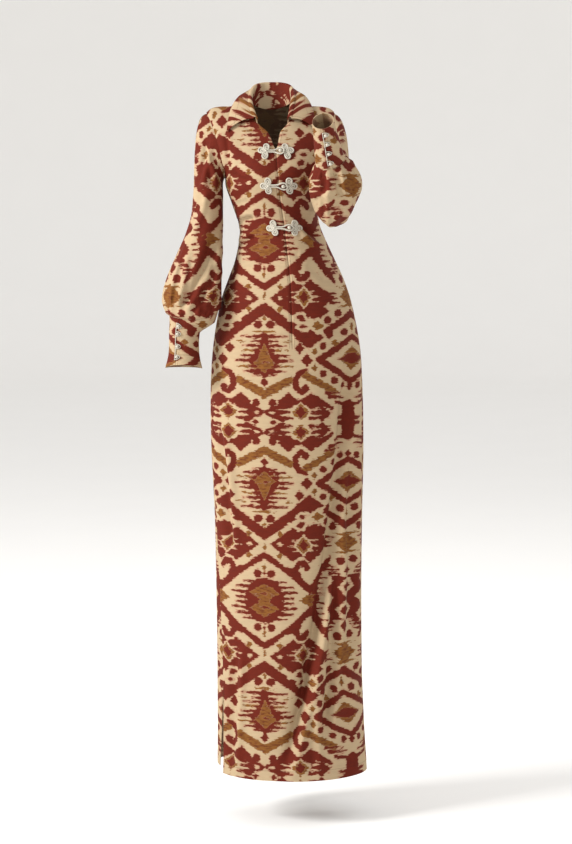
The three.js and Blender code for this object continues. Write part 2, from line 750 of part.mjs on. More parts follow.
// A trefoil of three cord loops round a knot, pointing away from the opening.
function trefoil({ z, turn }, sign) {
  const lift = CORD / 2 + FROG.clear;
  const lobe = (heading) => {
    const [c, s] = [Math.cos(radians(heading)), Math.sin(radians(heading))];
    const points = range(8).map((i) => {
      const t = (2 * Math.PI * i) / 8;
      const reach = (FROG.lobe / 2) * (1 - Math.cos(t));
      const wide = (FROG.lobeWidth / 2) * Math.sin(t) * (0.7 + 0.3 * (1 - Math.cos(t)));
      const [across, up] = [reach * c - wide * s, reach * s + wide * c];
      return onFront(z, sign * (FROG.reach + across), up, lift);
    });
    return cord(points, CORD / 2, true, 4);
  };
  const knot = ball(onFront(z, sign * FROG.reach, 0, lift + 0.8), CORD * 0.8);
  return [knot, ...[86, 0, -86].map((heading) => lobe(heading + turn))];
}

// The half with the loop, which reaches over the opening and round the button knot.
function frogLoop(frog) {
  const path = table(
    ["across", "wide", "out"],
    [
      [-21, 1.9, 2.8],
      [-11, 1.9, 3],
      [-2, 2.4, 3.4],
      [5, 5.4, 4.6],
      [10, FROG.loop, 5.4],
      [15, 4.6, 6.2],
      [17.4, 0, 6.6],
    ],
  );
  const half = (sign) =>
    path.map(({ across, wide, out }) => onFront(frog.z, across, sign * wide, out));
  const points = [...half(1), ...half(-1).reverse().slice(1)];
  return fuse([...trefoil(frog, -1), cord(points, CORD / 2 - 0.2, false, 4)]);
}

// The half with the ball knot, whose cords lie under the loop's end.
function frogKnot(frog) {
  const shank = [
    [21, 2.8],
    [17, 2.7],
    [13.5, 2.7],
    [10.5, 4.4],
  ].map(([across, out]) => onFront(frog.z, across, 0, out));
  const knot = ball(onFront(frog.z, 9.6, 0, 6.8), FROG.knot);
  return fuse([...trefoil(frog, 1), cord(shank, CORD / 2, false, 4), knot]);
}

const dress = new THREE.Group();

function add(name, geometry, look) {
  const mesh = new THREE.Mesh(geometry, new THREE.MeshStandardMaterial(look));
  mesh.name = name;
  dress.add(mesh);
}

add("back", panel(backPlaces(), 1), COLOURS.cloth);
for (const side of Object.keys(SIDES)) {
  add(`front_${side}`, panel(frontPlaces(side), -1), COLOURS.cloth);
  add(`sleeve_${side}`, sleeve(side), COLOURS.cloth);
  add(`cuff_${side}`, cuff(side), COLOURS.cloth);
  add(`cuff_${side}_loops`, cuffLoops(side), COLOURS.cord);
  CUFF_BUTTONS[side].forEach((share, i) =>
    add(`cuff_${side}_button_${i + 1}`, cuffButton(side, share), COLOURS.cord),
  );
}
add("collar", collar(), COLOURS.cloth);
FROGS.forEach((frog, i) => {
  add(`frog_${i + 1}_loop`, frogLoop(frog), COLOURS.cord);
  add(`frog_${i + 1}_knot`, frogKnot(frog), COLOURS.cord);
});

export default dress;
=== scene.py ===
"""A floor-length hostess dress in ikat cotton, hollow and held as it is worn, on a plain pale floor.

The frame's solids give its places. This script cuts each cloth piece again as a finer wall with its
creases, gathers and seams, draws the ikat print on it by formula, and makes the cord closures.
"""

import math
from functools import cache

import bpy
import numpy as np
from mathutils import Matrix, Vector


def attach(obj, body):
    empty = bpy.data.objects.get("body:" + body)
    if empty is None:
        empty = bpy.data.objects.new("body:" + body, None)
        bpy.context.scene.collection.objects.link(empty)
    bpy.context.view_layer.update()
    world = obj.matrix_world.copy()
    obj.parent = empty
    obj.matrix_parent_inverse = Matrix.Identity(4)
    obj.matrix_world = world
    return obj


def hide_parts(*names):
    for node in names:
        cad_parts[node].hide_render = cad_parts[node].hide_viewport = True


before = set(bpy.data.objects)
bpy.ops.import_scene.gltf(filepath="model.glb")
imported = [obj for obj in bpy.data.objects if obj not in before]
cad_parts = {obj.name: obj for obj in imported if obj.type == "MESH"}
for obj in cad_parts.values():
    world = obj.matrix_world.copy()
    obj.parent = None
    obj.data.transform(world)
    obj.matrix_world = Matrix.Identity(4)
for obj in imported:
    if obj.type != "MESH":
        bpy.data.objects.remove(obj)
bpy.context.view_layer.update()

MM = 0.001

# Driving sizes of the dress, in millimetres, as its solids have them
CLOTH = 1.3
COLLAR_CLOTH = 1.8
SEAM_GAP = 0.3
SEWN_GAP = 0.03
OPENING_GAP = 0.9
EDGE_COLUMNS = [0, 0.004, 0.009, 0.015, 0.024]
FIRST_WIDE_COLUMN = 0.036
NO_EDGE = 99.0
EDGE_ROLL = {"depth": 1.7, "width": 2.6, "fade": 30}
ARMHOLE_ROLL = {"depth": 1.3, "width": 4.5, "fade": 20}
HEM_Z = -1475
BACK_HEM_RISE = 15
BACK_HEM_SPREAD = 95
ARMPIT_Z = -165
ARMHOLE_TOP_Z = -26
ARMHOLE_TUCK = {"across": 0.8, "in": 2.1}
SHOULDER_TIP = 140
NECK_HALF = 45
BACK_NECK_DROP = 12
OPENING_END_Z = -531
SLIT_TOP = {"left": -1250, "right": -1275}
SLIT_WIDTH = 16
CORD = 3.6
SIDES = {"right": -1, "left": 1}

# Grid of the cloth pieces
YOKE_ROWS = 56
SKIRT_ROWS = {"front": 430, "back": 330}
FRONT_COLUMNS = 84
BACK_COLUMNS = 124
CAP_RINGS = 26
SLEEVE_RING_COUNT = 120
CUFF_RING_COUNT = 44
COLLAR_COLUMNS = 150


def table(names, rows):
    """Named columns of a table of numbers."""
    return {name: np.array([row[i] for row in rows], float) for i, name in enumerate(names)}


BODY = table(["z", "half", "front", "back", "middle", "opening"], [
    [0, 168, 58, 68, 0, 0],
    [-28, 165, 62, 76, 1, 2],
    [-60, 157, 70, 86, 3, 4],
    [-90, 147, 82, 93, 6, 5],
    [-120, 132, 95, 97, 8, 5],
    [-150, 115, 107, 97, 9, 6],
    [-165, 109, 110, 96, 10, 7],
    [-184, 106, 108, 92, 9, 9],
    [-210, 98, 98, 86, 10, 11],
    [-236, 91, 90, 81, 12, 13],
    [-262, 88, 86, 80, 18, 11],
    [-288, 91, 88, 84, 24, 8],
    [-344, 109, 97, 100, 32, 6],
    [-388, 127, 104, 112, 34, 9],
    [-432, 142, 109, 120, 34, 11],
    [-519, 159, 114, 128, 35, 12],
    [-607, 166, 118, 128, 35, 12],
    [-740, 167, 119, 124, 36, 12],
    [-918, 162, 118, 118, 39, 12],
    [-1187, 160, 118, 116, 41, 12],
    [-1368, 163, 122, 120, 45, 12],
    [-1475, 167, 128, 126, 48, 12],
])
ARMHOLE = table(["z", "half"], [[-26, 140], [-45, 134], [-79, 125], [-135, 114.5], [-165, 109]])
NECKLINE = table(
    ["z", "half"],
    [[0, 45], [-28, 39], [-45, 35], [-56, 26], [-66, 15], [-80, 9], [-95, 5], [-107, 0]],
)
SHOULDER = table(
    ["x", "z"],
    [[0, 0], [45, 0], [76, -10], [110, -12], [128, -16], [140, -26], [170, -60]],
)
SIDE_SEAM = table(["z", "right", "left"], [
    [-165, 0, 0],
    [-600, 0, 10],
    [-780, 4, 18],
    [-1000, 16, 12],
    [-1262, 24, 3],
    [-1475, 20, 2],
])
SHOULDER_ROUND = {"front": 95, "back": 85}
BUST = {"x": 47, "z": -148, "width": 38, "height": 46, "rise": 8}

# Folds: a line across the front (face -1) or the back (face 1), how far its middle bows to +X,
# its depth and its width. The first ones are the solids' own, and the finer ones follow.
# Columns: face, x0, z0, x1, z1, bow, depth, width.
BODY_FOLDS = [
    [-1, 180, -530, 26, -1470, 24, 9, 24],
    [-1, 148, -900, 122, -1400, 6, 6, 18],
    [-1, 186, -740, 196, -1240, -4, 4, 16],
    [-1, -122, -720, -92, -980, 4, 4, 16],
    [-1, -70, -262, -40, -252, 0, 4, 9],
    [-1, -66, -312, -38, -292, 0, 4, 9],
    [-1, 118, -302, 74, -270, 3, 5, 10],
    [-1, -97, -80, -98, -160, 4, 4, 12],
    [1, 150, -560, 40, -1470, -20, 8, 24],
    [1, -70, -620, -50, -1440, 12, 7, 22],
    [1, -64, -285, -20, -262, 0, 5, 10],
    [1, 104, -300, 50, -272, 0, 5, 10],
]
FINE_BODY_FOLDS = [
    [-1, 176, -490, 26, -1474, 26, 17, 12],
    [-1, 146, -905, 118, -1390, 5, 13, 10],
    [-1, 176, -700, 180, -1260, -5, 13, 11],
    [-1, -118, -690, -91, -980, 4, 12, 11],
    [-1, -80, -264, -34, -250, 0, 6, 5.5],
    [-1, -74, -316, -32, -290, 0, 6, 5.5],
    [-1, 126, -308, 64, -264, 3, 8, 6.5],
    [-1, -98, -66, -99, -168, 5, 5, 6],
    [-1, 112, -150, 70, -176, 0, 4, 8],
    [-1, -92, -150, -52, -178, 0, 4, 8],
    [-1, -60, -48, -20, -76, -4, 2, 5],
    [-1, -84, -226, -46, -214, 0, 2, 5],
    [-1, 108, -232, 66, -226, 0, 2, 5],
    [-1, 64, -330, 30, -318, 0, 2, 7],
    [-1, -60, -365, -14, -345, 0, 2, 9],
    [-1, 120, -380, 76, -352, 0, 2, 9],
    [-1, 74, -1200, 88, -1474, 4, 6, 12],
    [-1, -80, -1180, -92, -1474, 3, 10, 11],
    [-1, 150, -1220, 172, -1474, 4, 5, 13],
    [1, 150, -560, 40, -1474, -20, 12, 12],
    [1, -70, -620, -50, -1450, 12, 10, 11],
    [1, -72, -288, -16, -262, 0, 5, 6],
    [1, 112, -304, 46, -272, 0, 5, 6],
    [1, -96, -90, -50, -130, 4, 3, 8],
    [1, 104, -90, 60, -130, -4, 3, 8],
    [1, 10, -250, 60, -240, 0, 2, 6],
    [1, 100, -1150, 120, -1474, 4, 6, 14],
    [1, -10, -1180, -24, -1474, 4, 5, 14],
]
SLEEVE_FOLDS = {
    "right": [
        [-1, -138, -78, -165, -196, 3, 6.8, 8],
        [-1, -152, -190, -184, -290, 6, 8.1, 9],
        [-1, -118, -290, -203, -452, 12, 12.2, 11],
        [-1, -116, -346, -172, -456, 4, 9.5, 9],
        [-1, -150, -110, -126, -190, 4, 4.1, 7],
        [-1, -192, -330, -216, -446, 4, 8.1, 9],
        [-1, -140, -396, -146, -456, 0, 6.8, 7],
        [1, -140, -80, -160, -210, 4, 6.8, 9],
        [1, -126, -230, -180, -440, 10, 10.8, 12],
        [1, -160, -250, -205, -446, 6, 9.5, 10],
        [1, -130, -360, -140, -450, 3, 6.8, 9],
    ],
    "left": [
        [-1, 104, -140, 112, -206, 3, 8.1, 7],
        [-1, 130, -140, 144, -212, 3, 8.1, 7],
        [-1, 156, -150, 176, -206, 3, 6.8, 7],
        [-1, 94, -206, 130, -246, 2, 6.8, 9],
        [-1, 150, -214, 118, -252, 2, 5.4, 9],
        [1, 150, -60, 158, -150, 3, 6.8, 9],
        [1, 140, -90, 150, -180, 3, 6.8, 9],
        [1, 120, -150, 130, -215, 3, 6.8, 9],
    ],
}

RING_COLUMNS = ["x", "y", "z", "half", "deep", "sag", "gather"]
SLEEVE_RINGS = {
    "right": table(RING_COLUMNS, [
        [-134, -4, -206, 33, 46, 0, 0],
        [-137, -11, -252, 35, 46, 0, 0],
        [-145, -19, -300, 42, 49, 0, 0.6],
        [-155, -29, -345, 51, 53, 0, 1.4],
        [-164, -40, -388, 59, 57, 2, 2.4],
        [-169, -47, -420, 63.5, 58, 8, 3],
        [-170, -51, -440, 62.5, 54, 15, 3],
        [-170, -52, -452, 57, 44, 20, 1.2],
    ]),
    "left": table(RING_COLUMNS, [
        [143, -50, -152, 25, 48, 0, 0],
        [140, -94, -192, 29, 50, 0, 0],
        [137, -136, -216, 35, 51, 0, 0.8],
        [135, -176, -217, 42, 52, 0, 1.6],
        [135, -207, -198, 51, 52, 0, 2.4],
        [134, -229, -175, 54, 49, 0, 3],
        [130, -245, -152, 46, 43, 0, 3],
        [125, -257, -133, 31, 33, 0, 1],
    ]),
}
CUFF_RINGS = {
    "right": table(RING_COLUMNS, [
        [-183, -56, -484, 37, 36, 3, 0],
        [-186.5, -58, -506, 33, 33, 0, 0],
        [-187, -62, -545, 33.5, 33, 0, 0],
        [-187.5, -65, -576, 40, 36, -6, 0],
    ]),
    "left": table(RING_COLUMNS, [
        [121, -272, -114, 29, 32, 0, 0],
        [117, -288, -93, 26.5, 30, 0, 0],
        [113, -303, -73, 24, 29, 0, 0],
        [109, -318, -53, 22.5, 28, 0, 0],
    ]),
}
GATHERS = 7
CAP_PULL = {"hole": 0.6, "tube": 1.1}
CUFF_PLEATS = {"reach": 0.16, "depth": 2.2}
CAP_PLEATS = {"reach": 0.09, "depth": 0.7}
SLEEVE_EASING = {"cap": 12, "cuff": 14}
CUFF_SLIT_TURN = {"right": 5 / 28, "left": 21 / 28}
CUFF_SLIT_GAP = 0.8
CUFF_RADIUS = 30
CUFF_BUTTONS = {"right": [0.3, 0.48, 0.66, 0.84], "left": [0.2, 0.42, 0.64, 0.86]}
CUFF_BUTTON_RADIUS = 3.6
BUTTON_SEAT = {"lift": 0.5, "beside": 3.2}
BALL = {"core": 0.9, "ring": 0.74, "cord": 0.26, "tilts": (0.0, 1.05, 2.1)}

COLLAR = table(["neck", "rollX", "rollY", "rollZ", "edgeX", "edgeZ", "face", "belly", "rise"], [
    [-46, 37, -62, -40, 97, -69, -1, 2, 16],
    [-30, 42, -48, -22, 93, -46, -1, 4, 12],
    [-12, 46, -28, -4, 88, -24, -1, 6, 9],
    [0, 46, 2, 15, 80, -10, 0, 10, 14],
    [-5, 38, 34, 31, 64, -22, 1, 12, 9],
    [-10, 21, 51, 37, 35, -32, 1, 8, 1],
    [-12, 0, 56, 38, 0, -35, 1, 6, -2],
])
ROLL_RADIUS = 3.6
COLLAR_CLEAR = 3
COLLAR_SEAM_LIFT = 0.9
COLLAR_BACK_X = 4
COLLAR_TUCK = {"in": 1.4, "down": 6}
ROLL_ROW = 14

FROGS = table(["z", "turn"], [[-111, 12], [-183, 0], [-273, -6]])
FROG = {"reach": 21, "lobe": 15.5, "wide": 10, "knot": 4.2, "clear": 0.8}
FROG_LOOP = table(["along", "wide", "out"], [
    [-21, 1.9, 2.8],
    [-11, 1.9, 3.0],
    [-2, 2.4, 3.4],
    [5, 5.4, 4.6],
    [10, 6.4, 5.4],
    [15, 4.6, 6.2],
    [17.4, 0, 6.6],
])
FROG_SHANK = table(["along", "out"], [[21, 2.8], [17, 2.7], [13.5, 2.7], [10.5, 4.4]])
CUFF_LOOP = {"cord": 0.8, "lift": 1.6, "behind": 2.6, "start": 2.8, "reach": 12, "half": 5.2}


def unit(vectors):
    """Vectors at length 1."""
    length = np.linalg.norm(vectors, axis=-1, keepdims=True)
    return vectors / np.maximum(length, 1e-9)


def smooth(keys, values, at):
    """A smooth curve through values, by their keys, level beyond its ends."""
    order = np.argsort(keys)
    k, v = keys[order], values[order]
    at = np.clip(np.asarray(at, float), k[0], k[-1])
    i = np.clip(np.searchsorted(k, at, side="right") - 1, 0, len(k) - 2)
    after = np.minimum(np.arange(len(k)) + 1, len(k) - 1)
    before = np.maximum(np.arange(len(k)) - 1, 0)
    slope = (v[after] - v[before]) / (k[after] - k[before])
    width = k[i + 1] - k[i]
    t = (at - k[i]) / width
    t2, t3 = t * t, t * t * t
    return (
        (2 * t3 - 3 * t2 + 1) * v[i]
        + (t3 - 2 * t2 + t) * width * slope[i]
        + (3 * t2 - 2 * t3) * v[i + 1]
        + (t3 - t2) * width * slope[i + 1]
    )


def body(name, z):
    return smooth(BODY["z"], BODY[name], z)


def along(rings, t):
    """A ring table's values at places from 0 to 1."""
    count = len(next(iter(rings.values())))
    keys = np.arange(count) / (count - 1)
    return {name: smooth(keys, values, t) for name, values in rings.items()}


def shoulder_z(x, z):
    return smooth(SHOULDER["x"], SHOULDER["z"], np.abs(x - body("middle", z)))


def fold_offset(folds, facing, x, z):
    """How far folds push the cloth out: a trough with a softer ridge beside it."""
    total = np.zeros(np.broadcast(x, z).shape)
    for face, x0, z0, x1, z1, bow, depth, width in folds:
        dx, dz = x1 - x0, z1 - z0
        long = math.hypot(dx, dz)
        t = np.clip(((x - x0) * dx + (z - z0) * dz) / long**2, 0, 1)
        off = ((x - x0) * -dz + (z - z0) * dx) / long - bow * 4 * t * (1 - t)
        fade = np.clip(np.sin(np.pi * t) * 2.2, 0, 1) * (np.sign(facing) == face)
        trough = np.exp(-((off / width) ** 2))
        ridge = np.exp(-(((off - 1.6 * width) / (0.8 * width)) ** 2))
        total = total + fade * depth * (0.7 * ridge - trough)
    return total


def body_point(angle, z, fine=True):
    """Outer surface of the body: angle 0 is the middle of the front, and 90 degrees is at +X."""
    half, middle = body("half", z), body("middle", z)
    in_front = np.cos(angle) > 0
    depth = np.where(in_front, body("front", z), body("back", z))
    rounding = np.where(in_front, SHOULDER_ROUND["front"], SHOULDER_ROUND["back"])
    x = middle + half * np.sin(angle)
    below = np.clip((shoulder_z(x, z) - z) / rounding, 0, 1)
    shape = np.sqrt(1 - (1 - below) ** 2)
    normal = unit(np.stack([np.sin(angle) / half, -np.cos(angle) / depth, 0 * x], -1))
    facing = np.where(in_front, -1, 1)
    folds = BODY_FOLDS + (FINE_BODY_FOLDS if fine else [])
    across = (np.abs(x - middle) - BUST["x"]) / BUST["width"]
    bust = BUST["rise"] * np.exp(-(across**2) - ((z - BUST["z"]) / BUST["height"]) ** 2)
    offset = fold_offset(folds, facing, x, z) + np.where(in_front, bust, 0)
    if fine:
        offset = offset + cloth_life(x, z)
    offset = offset * np.abs(np.cos(angle)) ** 0.5
    point = np.stack([x, -depth * np.cos(angle) * shape, z + 0 * x], -1)
    return point + normal * (offset * shape)[..., None]


def cloth_life(x, z):
    """The small unevenness of cloth that hangs: a few long waves."""
    return (
        0.7 * np.sin(0.034 * x + 0.006 * z + 1.1)
        + 0.5 * np.sin(0.071 * x - 0.011 * z + 0.4)
        + 0.4 * np.sin(0.023 * z + 0.05 * x)
    )


def angle_at(x, z):
    """The angle at which the front of the body lies at x."""
    return np.arcsin(np.clip((x - body("middle", z)) / body("half", z), -1, 1))


def body_normal(angle, z, fine=False):
    turn, rise = 0.01, 0.8
    across = body_point(angle + turn, z, fine) - body_point(angle - turn, z, fine)
    up = body_point(angle, z + rise, fine) - body_point(angle, z - rise, fine)
    on_seam = shoulder_z(body_point(angle, z, False)[..., 0], z) - z < 2 * rise
    lean = unit(np.stack([np.sign(np.sin(angle)) * 0.25, 0 * angle, 1 + 0 * angle], -1))
    return np.where(on_seam[..., None], lean, unit(np.cross(across, up)))


def shifted(angle, z, distance):
    """An angle moved along the girth by a distance."""
    a, b = body_point(angle + 0.01, z, False), body_point(angle - 0.01, z, False)
    return angle + distance * 0.02 / np.linalg.norm(a - b, axis=-1)


def front_edge_x(z):
    return body("middle", z) + body("opening", z)


def slit_inset(side, z):
    return SLIT_WIDTH / 2 * np.clip((SLIT_TOP[side] - z) / (SLIT_TOP[side] - HEM_Z), 0, 1)


def seam_angle(side, z):
    return SIDES[side] * np.radians(90 - smooth(SIDE_SEAM["z"], SIDE_SEAM[side], z))


def yoke_share(rows):
    return np.sin(np.arange(rows + 1) / rows * math.pi / 2)


def yoke_z(share, top):
    return ARMPIT_Z + share * (top - ARMPIT_Z)


def front_places(side):
    """Angle and height of each point of a front panel: rows from the hem up, columns from the
    front edge to the side."""
    sign = SIDES[side]
    rest = np.linspace(FIRST_WIDE_COLUMN, 1, FRONT_COLUMNS + 1 - len(EDGE_COLUMNS))
    t = np.concatenate([EDGE_COLUMNS, rest])[None, :]
    z = np.linspace(HEM_Z, ARMPIT_Z, SKIRT_ROWS["front"] + 1)[:-1, None]
    gap = np.where(z < OPENING_END_Z, SEWN_GAP, OPENING_GAP)
    start = shifted(angle_at(front_edge_x(z), z), z, sign * gap / 2)
    end = shifted(seam_angle(side, z), z, -sign * (SEAM_GAP / 2 + slit_inset(side, z)))
    skirt = (start + (end - start) * t, z + 0 * t)
    share = yoke_share(YOKE_ROWS)[:, None]
    inner, outer = yoke_z(share, 0), yoke_z(share, ARMHOLE_TOP_Z)
    neck = np.maximum(smooth(NECKLINE["z"], NECKLINE["half"], inner), OPENING_GAP / 2)
    start = angle_at(front_edge_x(inner) + sign * neck, inner)
    hole = smooth(ARMHOLE["z"], ARMHOLE["half"], outer)
    end = angle_at(body("middle", outer) + sign * hole, outer)
    level = inner + (outer - inner) * t
    x = body("middle", level) + body("half", level) * np.sin(start + (end - start) * t)
    z = yoke_z(share, shoulder_z(x, level))
    yoke = (angle_at(x, z), z)
    return [np.vstack(pair) for pair in zip(skirt, yoke)]


def back_places():
    """The same for the back, from the left side seam round to the right one."""
    t = np.linspace(0, 1, BACK_COLUMNS + 1)[None, :]
    z = np.linspace(HEM_Z, ARMPIT_Z, SKIRT_ROWS["back"] + 1)[:-1, None]

    def edge(side):
        inset = SEAM_GAP / 2 + slit_inset(side, z)
        return shifted(seam_angle(side, z), z, SIDES[side] * inset)

    start, end = edge("left"), edge("right") + 2 * math.pi
    angle = start + (end - start) * t
    low = np.clip(1 - (z - HEM_Z) / BACK_HEM_SPREAD, 0, 1)
    skirt = (angle, z + BACK_HEM_RISE * low * np.sin(angle) ** 2)
    share = yoke_share(YOKE_ROWS)[:, None]
    outer = yoke_z(share, ARMHOLE_TOP_Z)
    start = angle_at(body("middle", outer) + smooth(ARMHOLE["z"], ARMHOLE["half"], outer), outer)
    angle = math.pi - start + 2 * start * t
    x = body("middle", outer) + body("half", outer) * np.sin(angle)
    neck = -BACK_NECK_DROP * (1 - (x / NECK_HALF) ** 2)
    top = np.where(np.abs(x) < NECK_HALF, neck, shoulder_z(x, 0 * x))
    z = yoke_z(share, top)
    yoke = (math.pi - angle_at(x, z), z)
    return [np.vstack(pair) for pair in zip(skirt, yoke)]


def grid_normals(grid, closed):
    """Normals of a grid of points, from its neighbours."""
    if closed:
        across = np.roll(grid, -1, 1) - np.roll(grid, 1, 1)
    else:
        across = np.gradient(grid, axis=1)
    up = np.gradient(grid, axis=0)
    return unit(np.cross(across, up))


# How the print lies on the cloth: its upright mirror lines, the height of a medallion's middle and
# the distances to the next ones. Where the cloth turns away from the front, the print follows it.
PRINT_AXIS_X = -12.5
PRINT_ROW_Z = -1078
PRINT_ACROSS = 193
PRINT_UP = 389
LEAST_TURN = 0.72


def running(grid, axis, flat, start, first):
    """A print coordinate that grows along one axis of a grid with its flat coordinate, or with the
    cloth itself where that turns away, from the start line, where it is first."""
    step = np.diff(grid, axis=axis)
    length = np.linalg.norm(step, axis=-1)
    level = np.diff(flat, axis=axis)
    way = np.sign(np.sum(level, axis=axis, keepdims=True))
    grown = way * np.maximum(np.abs(level), LEAST_TURN * length)
    total = np.insert(np.cumsum(grown, axis=axis), 0, 0, axis=axis)
    return total - np.take(total, [start], axis=axis) + first


EDGE_ANGLE = 1.1


def linked(name, data):
    """A new object in the scene."""
    made = bpy.data.objects.new(name, data)
    bpy.context.collection.objects.link(made)
    return made


def object_from(name, vertices, faces, attributes, uv):
    mesh = bpy.data.meshes.new(name)
    mesh.from_pydata((vertices * MM).tolist(), [], faces.tolist())
    for key, values in attributes.items():
        mesh.attributes.new(key, "FLOAT", "POINT").data.foreach_set("value", values.astype("f"))
    if uv is not None:
        layer = mesh.uv_layers.new(name="cloth")
        corners = np.empty(len(mesh.loops), int)
        mesh.loops.foreach_get("vertex_index", corners)
        layer.data.foreach_set("uv", (uv[corners] * MM).astype("f").ravel())
    mesh.polygons.foreach_set("use_smooth", np.full(len(mesh.polygons), True))
    mesh.update()
    mesh.set_sharp_from_angle(angle=EDGE_ANGLE)
    return linked(name, mesh)


def cloth_piece(node, outer, u, v, closed=False, thickness=CLOTH, edges=None, reverse=1.0):
    """A closed wall in place of a node, from a grid of outer points, with the print on it."""
    rows, columns = outer.shape[:2]
    inner = outer - grid_normals(outer, closed) * thickness
    index = np.arange(rows * columns).reshape(rows, columns)
    wide = np.hstack([index, index[:, :1]]) if closed else index
    a, b, c, d = wide[:-1, :-1], wide[:-1, 1:], wide[1:, 1:], wide[1:, :-1]
    outside = np.stack([a, b, c, d], -1).reshape(-1, 4)
    inside = np.stack([a, d, c, b], -1).reshape(-1, 4) + rows * columns
    strips = [outside, inside]

    def strip(line, flip):
        first, last = line[:-1], line[1:]
        other = rows * columns
        quad = [first, first + other, last + other, last]
        strips.append(np.stack(quad[::-1] if flip else quad, -1))

    strip(wide[0], False)
    strip(wide[-1], True)
    if not closed:
        strip(wide[:, 0], True)
        strip(wide[:, -1], False)
    faces = np.vstack(strips)
    vertices = np.vstack([outer.reshape(-1, 3), inner.reshape(-1, 3)])
    red, ochre = ikat(u.ravel(), v.ravel())
    far = np.full(u.shape, NO_EDGE)
    side_edge, low_edge = edges if edges else (far, far)
    twice = lambda values: np.concatenate([values.ravel(), values.ravel()])
    attributes = {
        "red": twice(red),
        "ochre": twice(ochre),
        "inside": np.repeat([0.0, reverse], rows * columns),
        "side_edge": twice(side_edge + 0 * u),
        "low_edge": twice(low_edge + 0 * u),
    }
    made = object_from(f"{node}_cloth", vertices, faces, attributes, np.stack([twice(u), twice(v)], -1))
    made.data.materials.append(ikat_cloth())
    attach(made, "root")
    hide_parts(node)
    return made
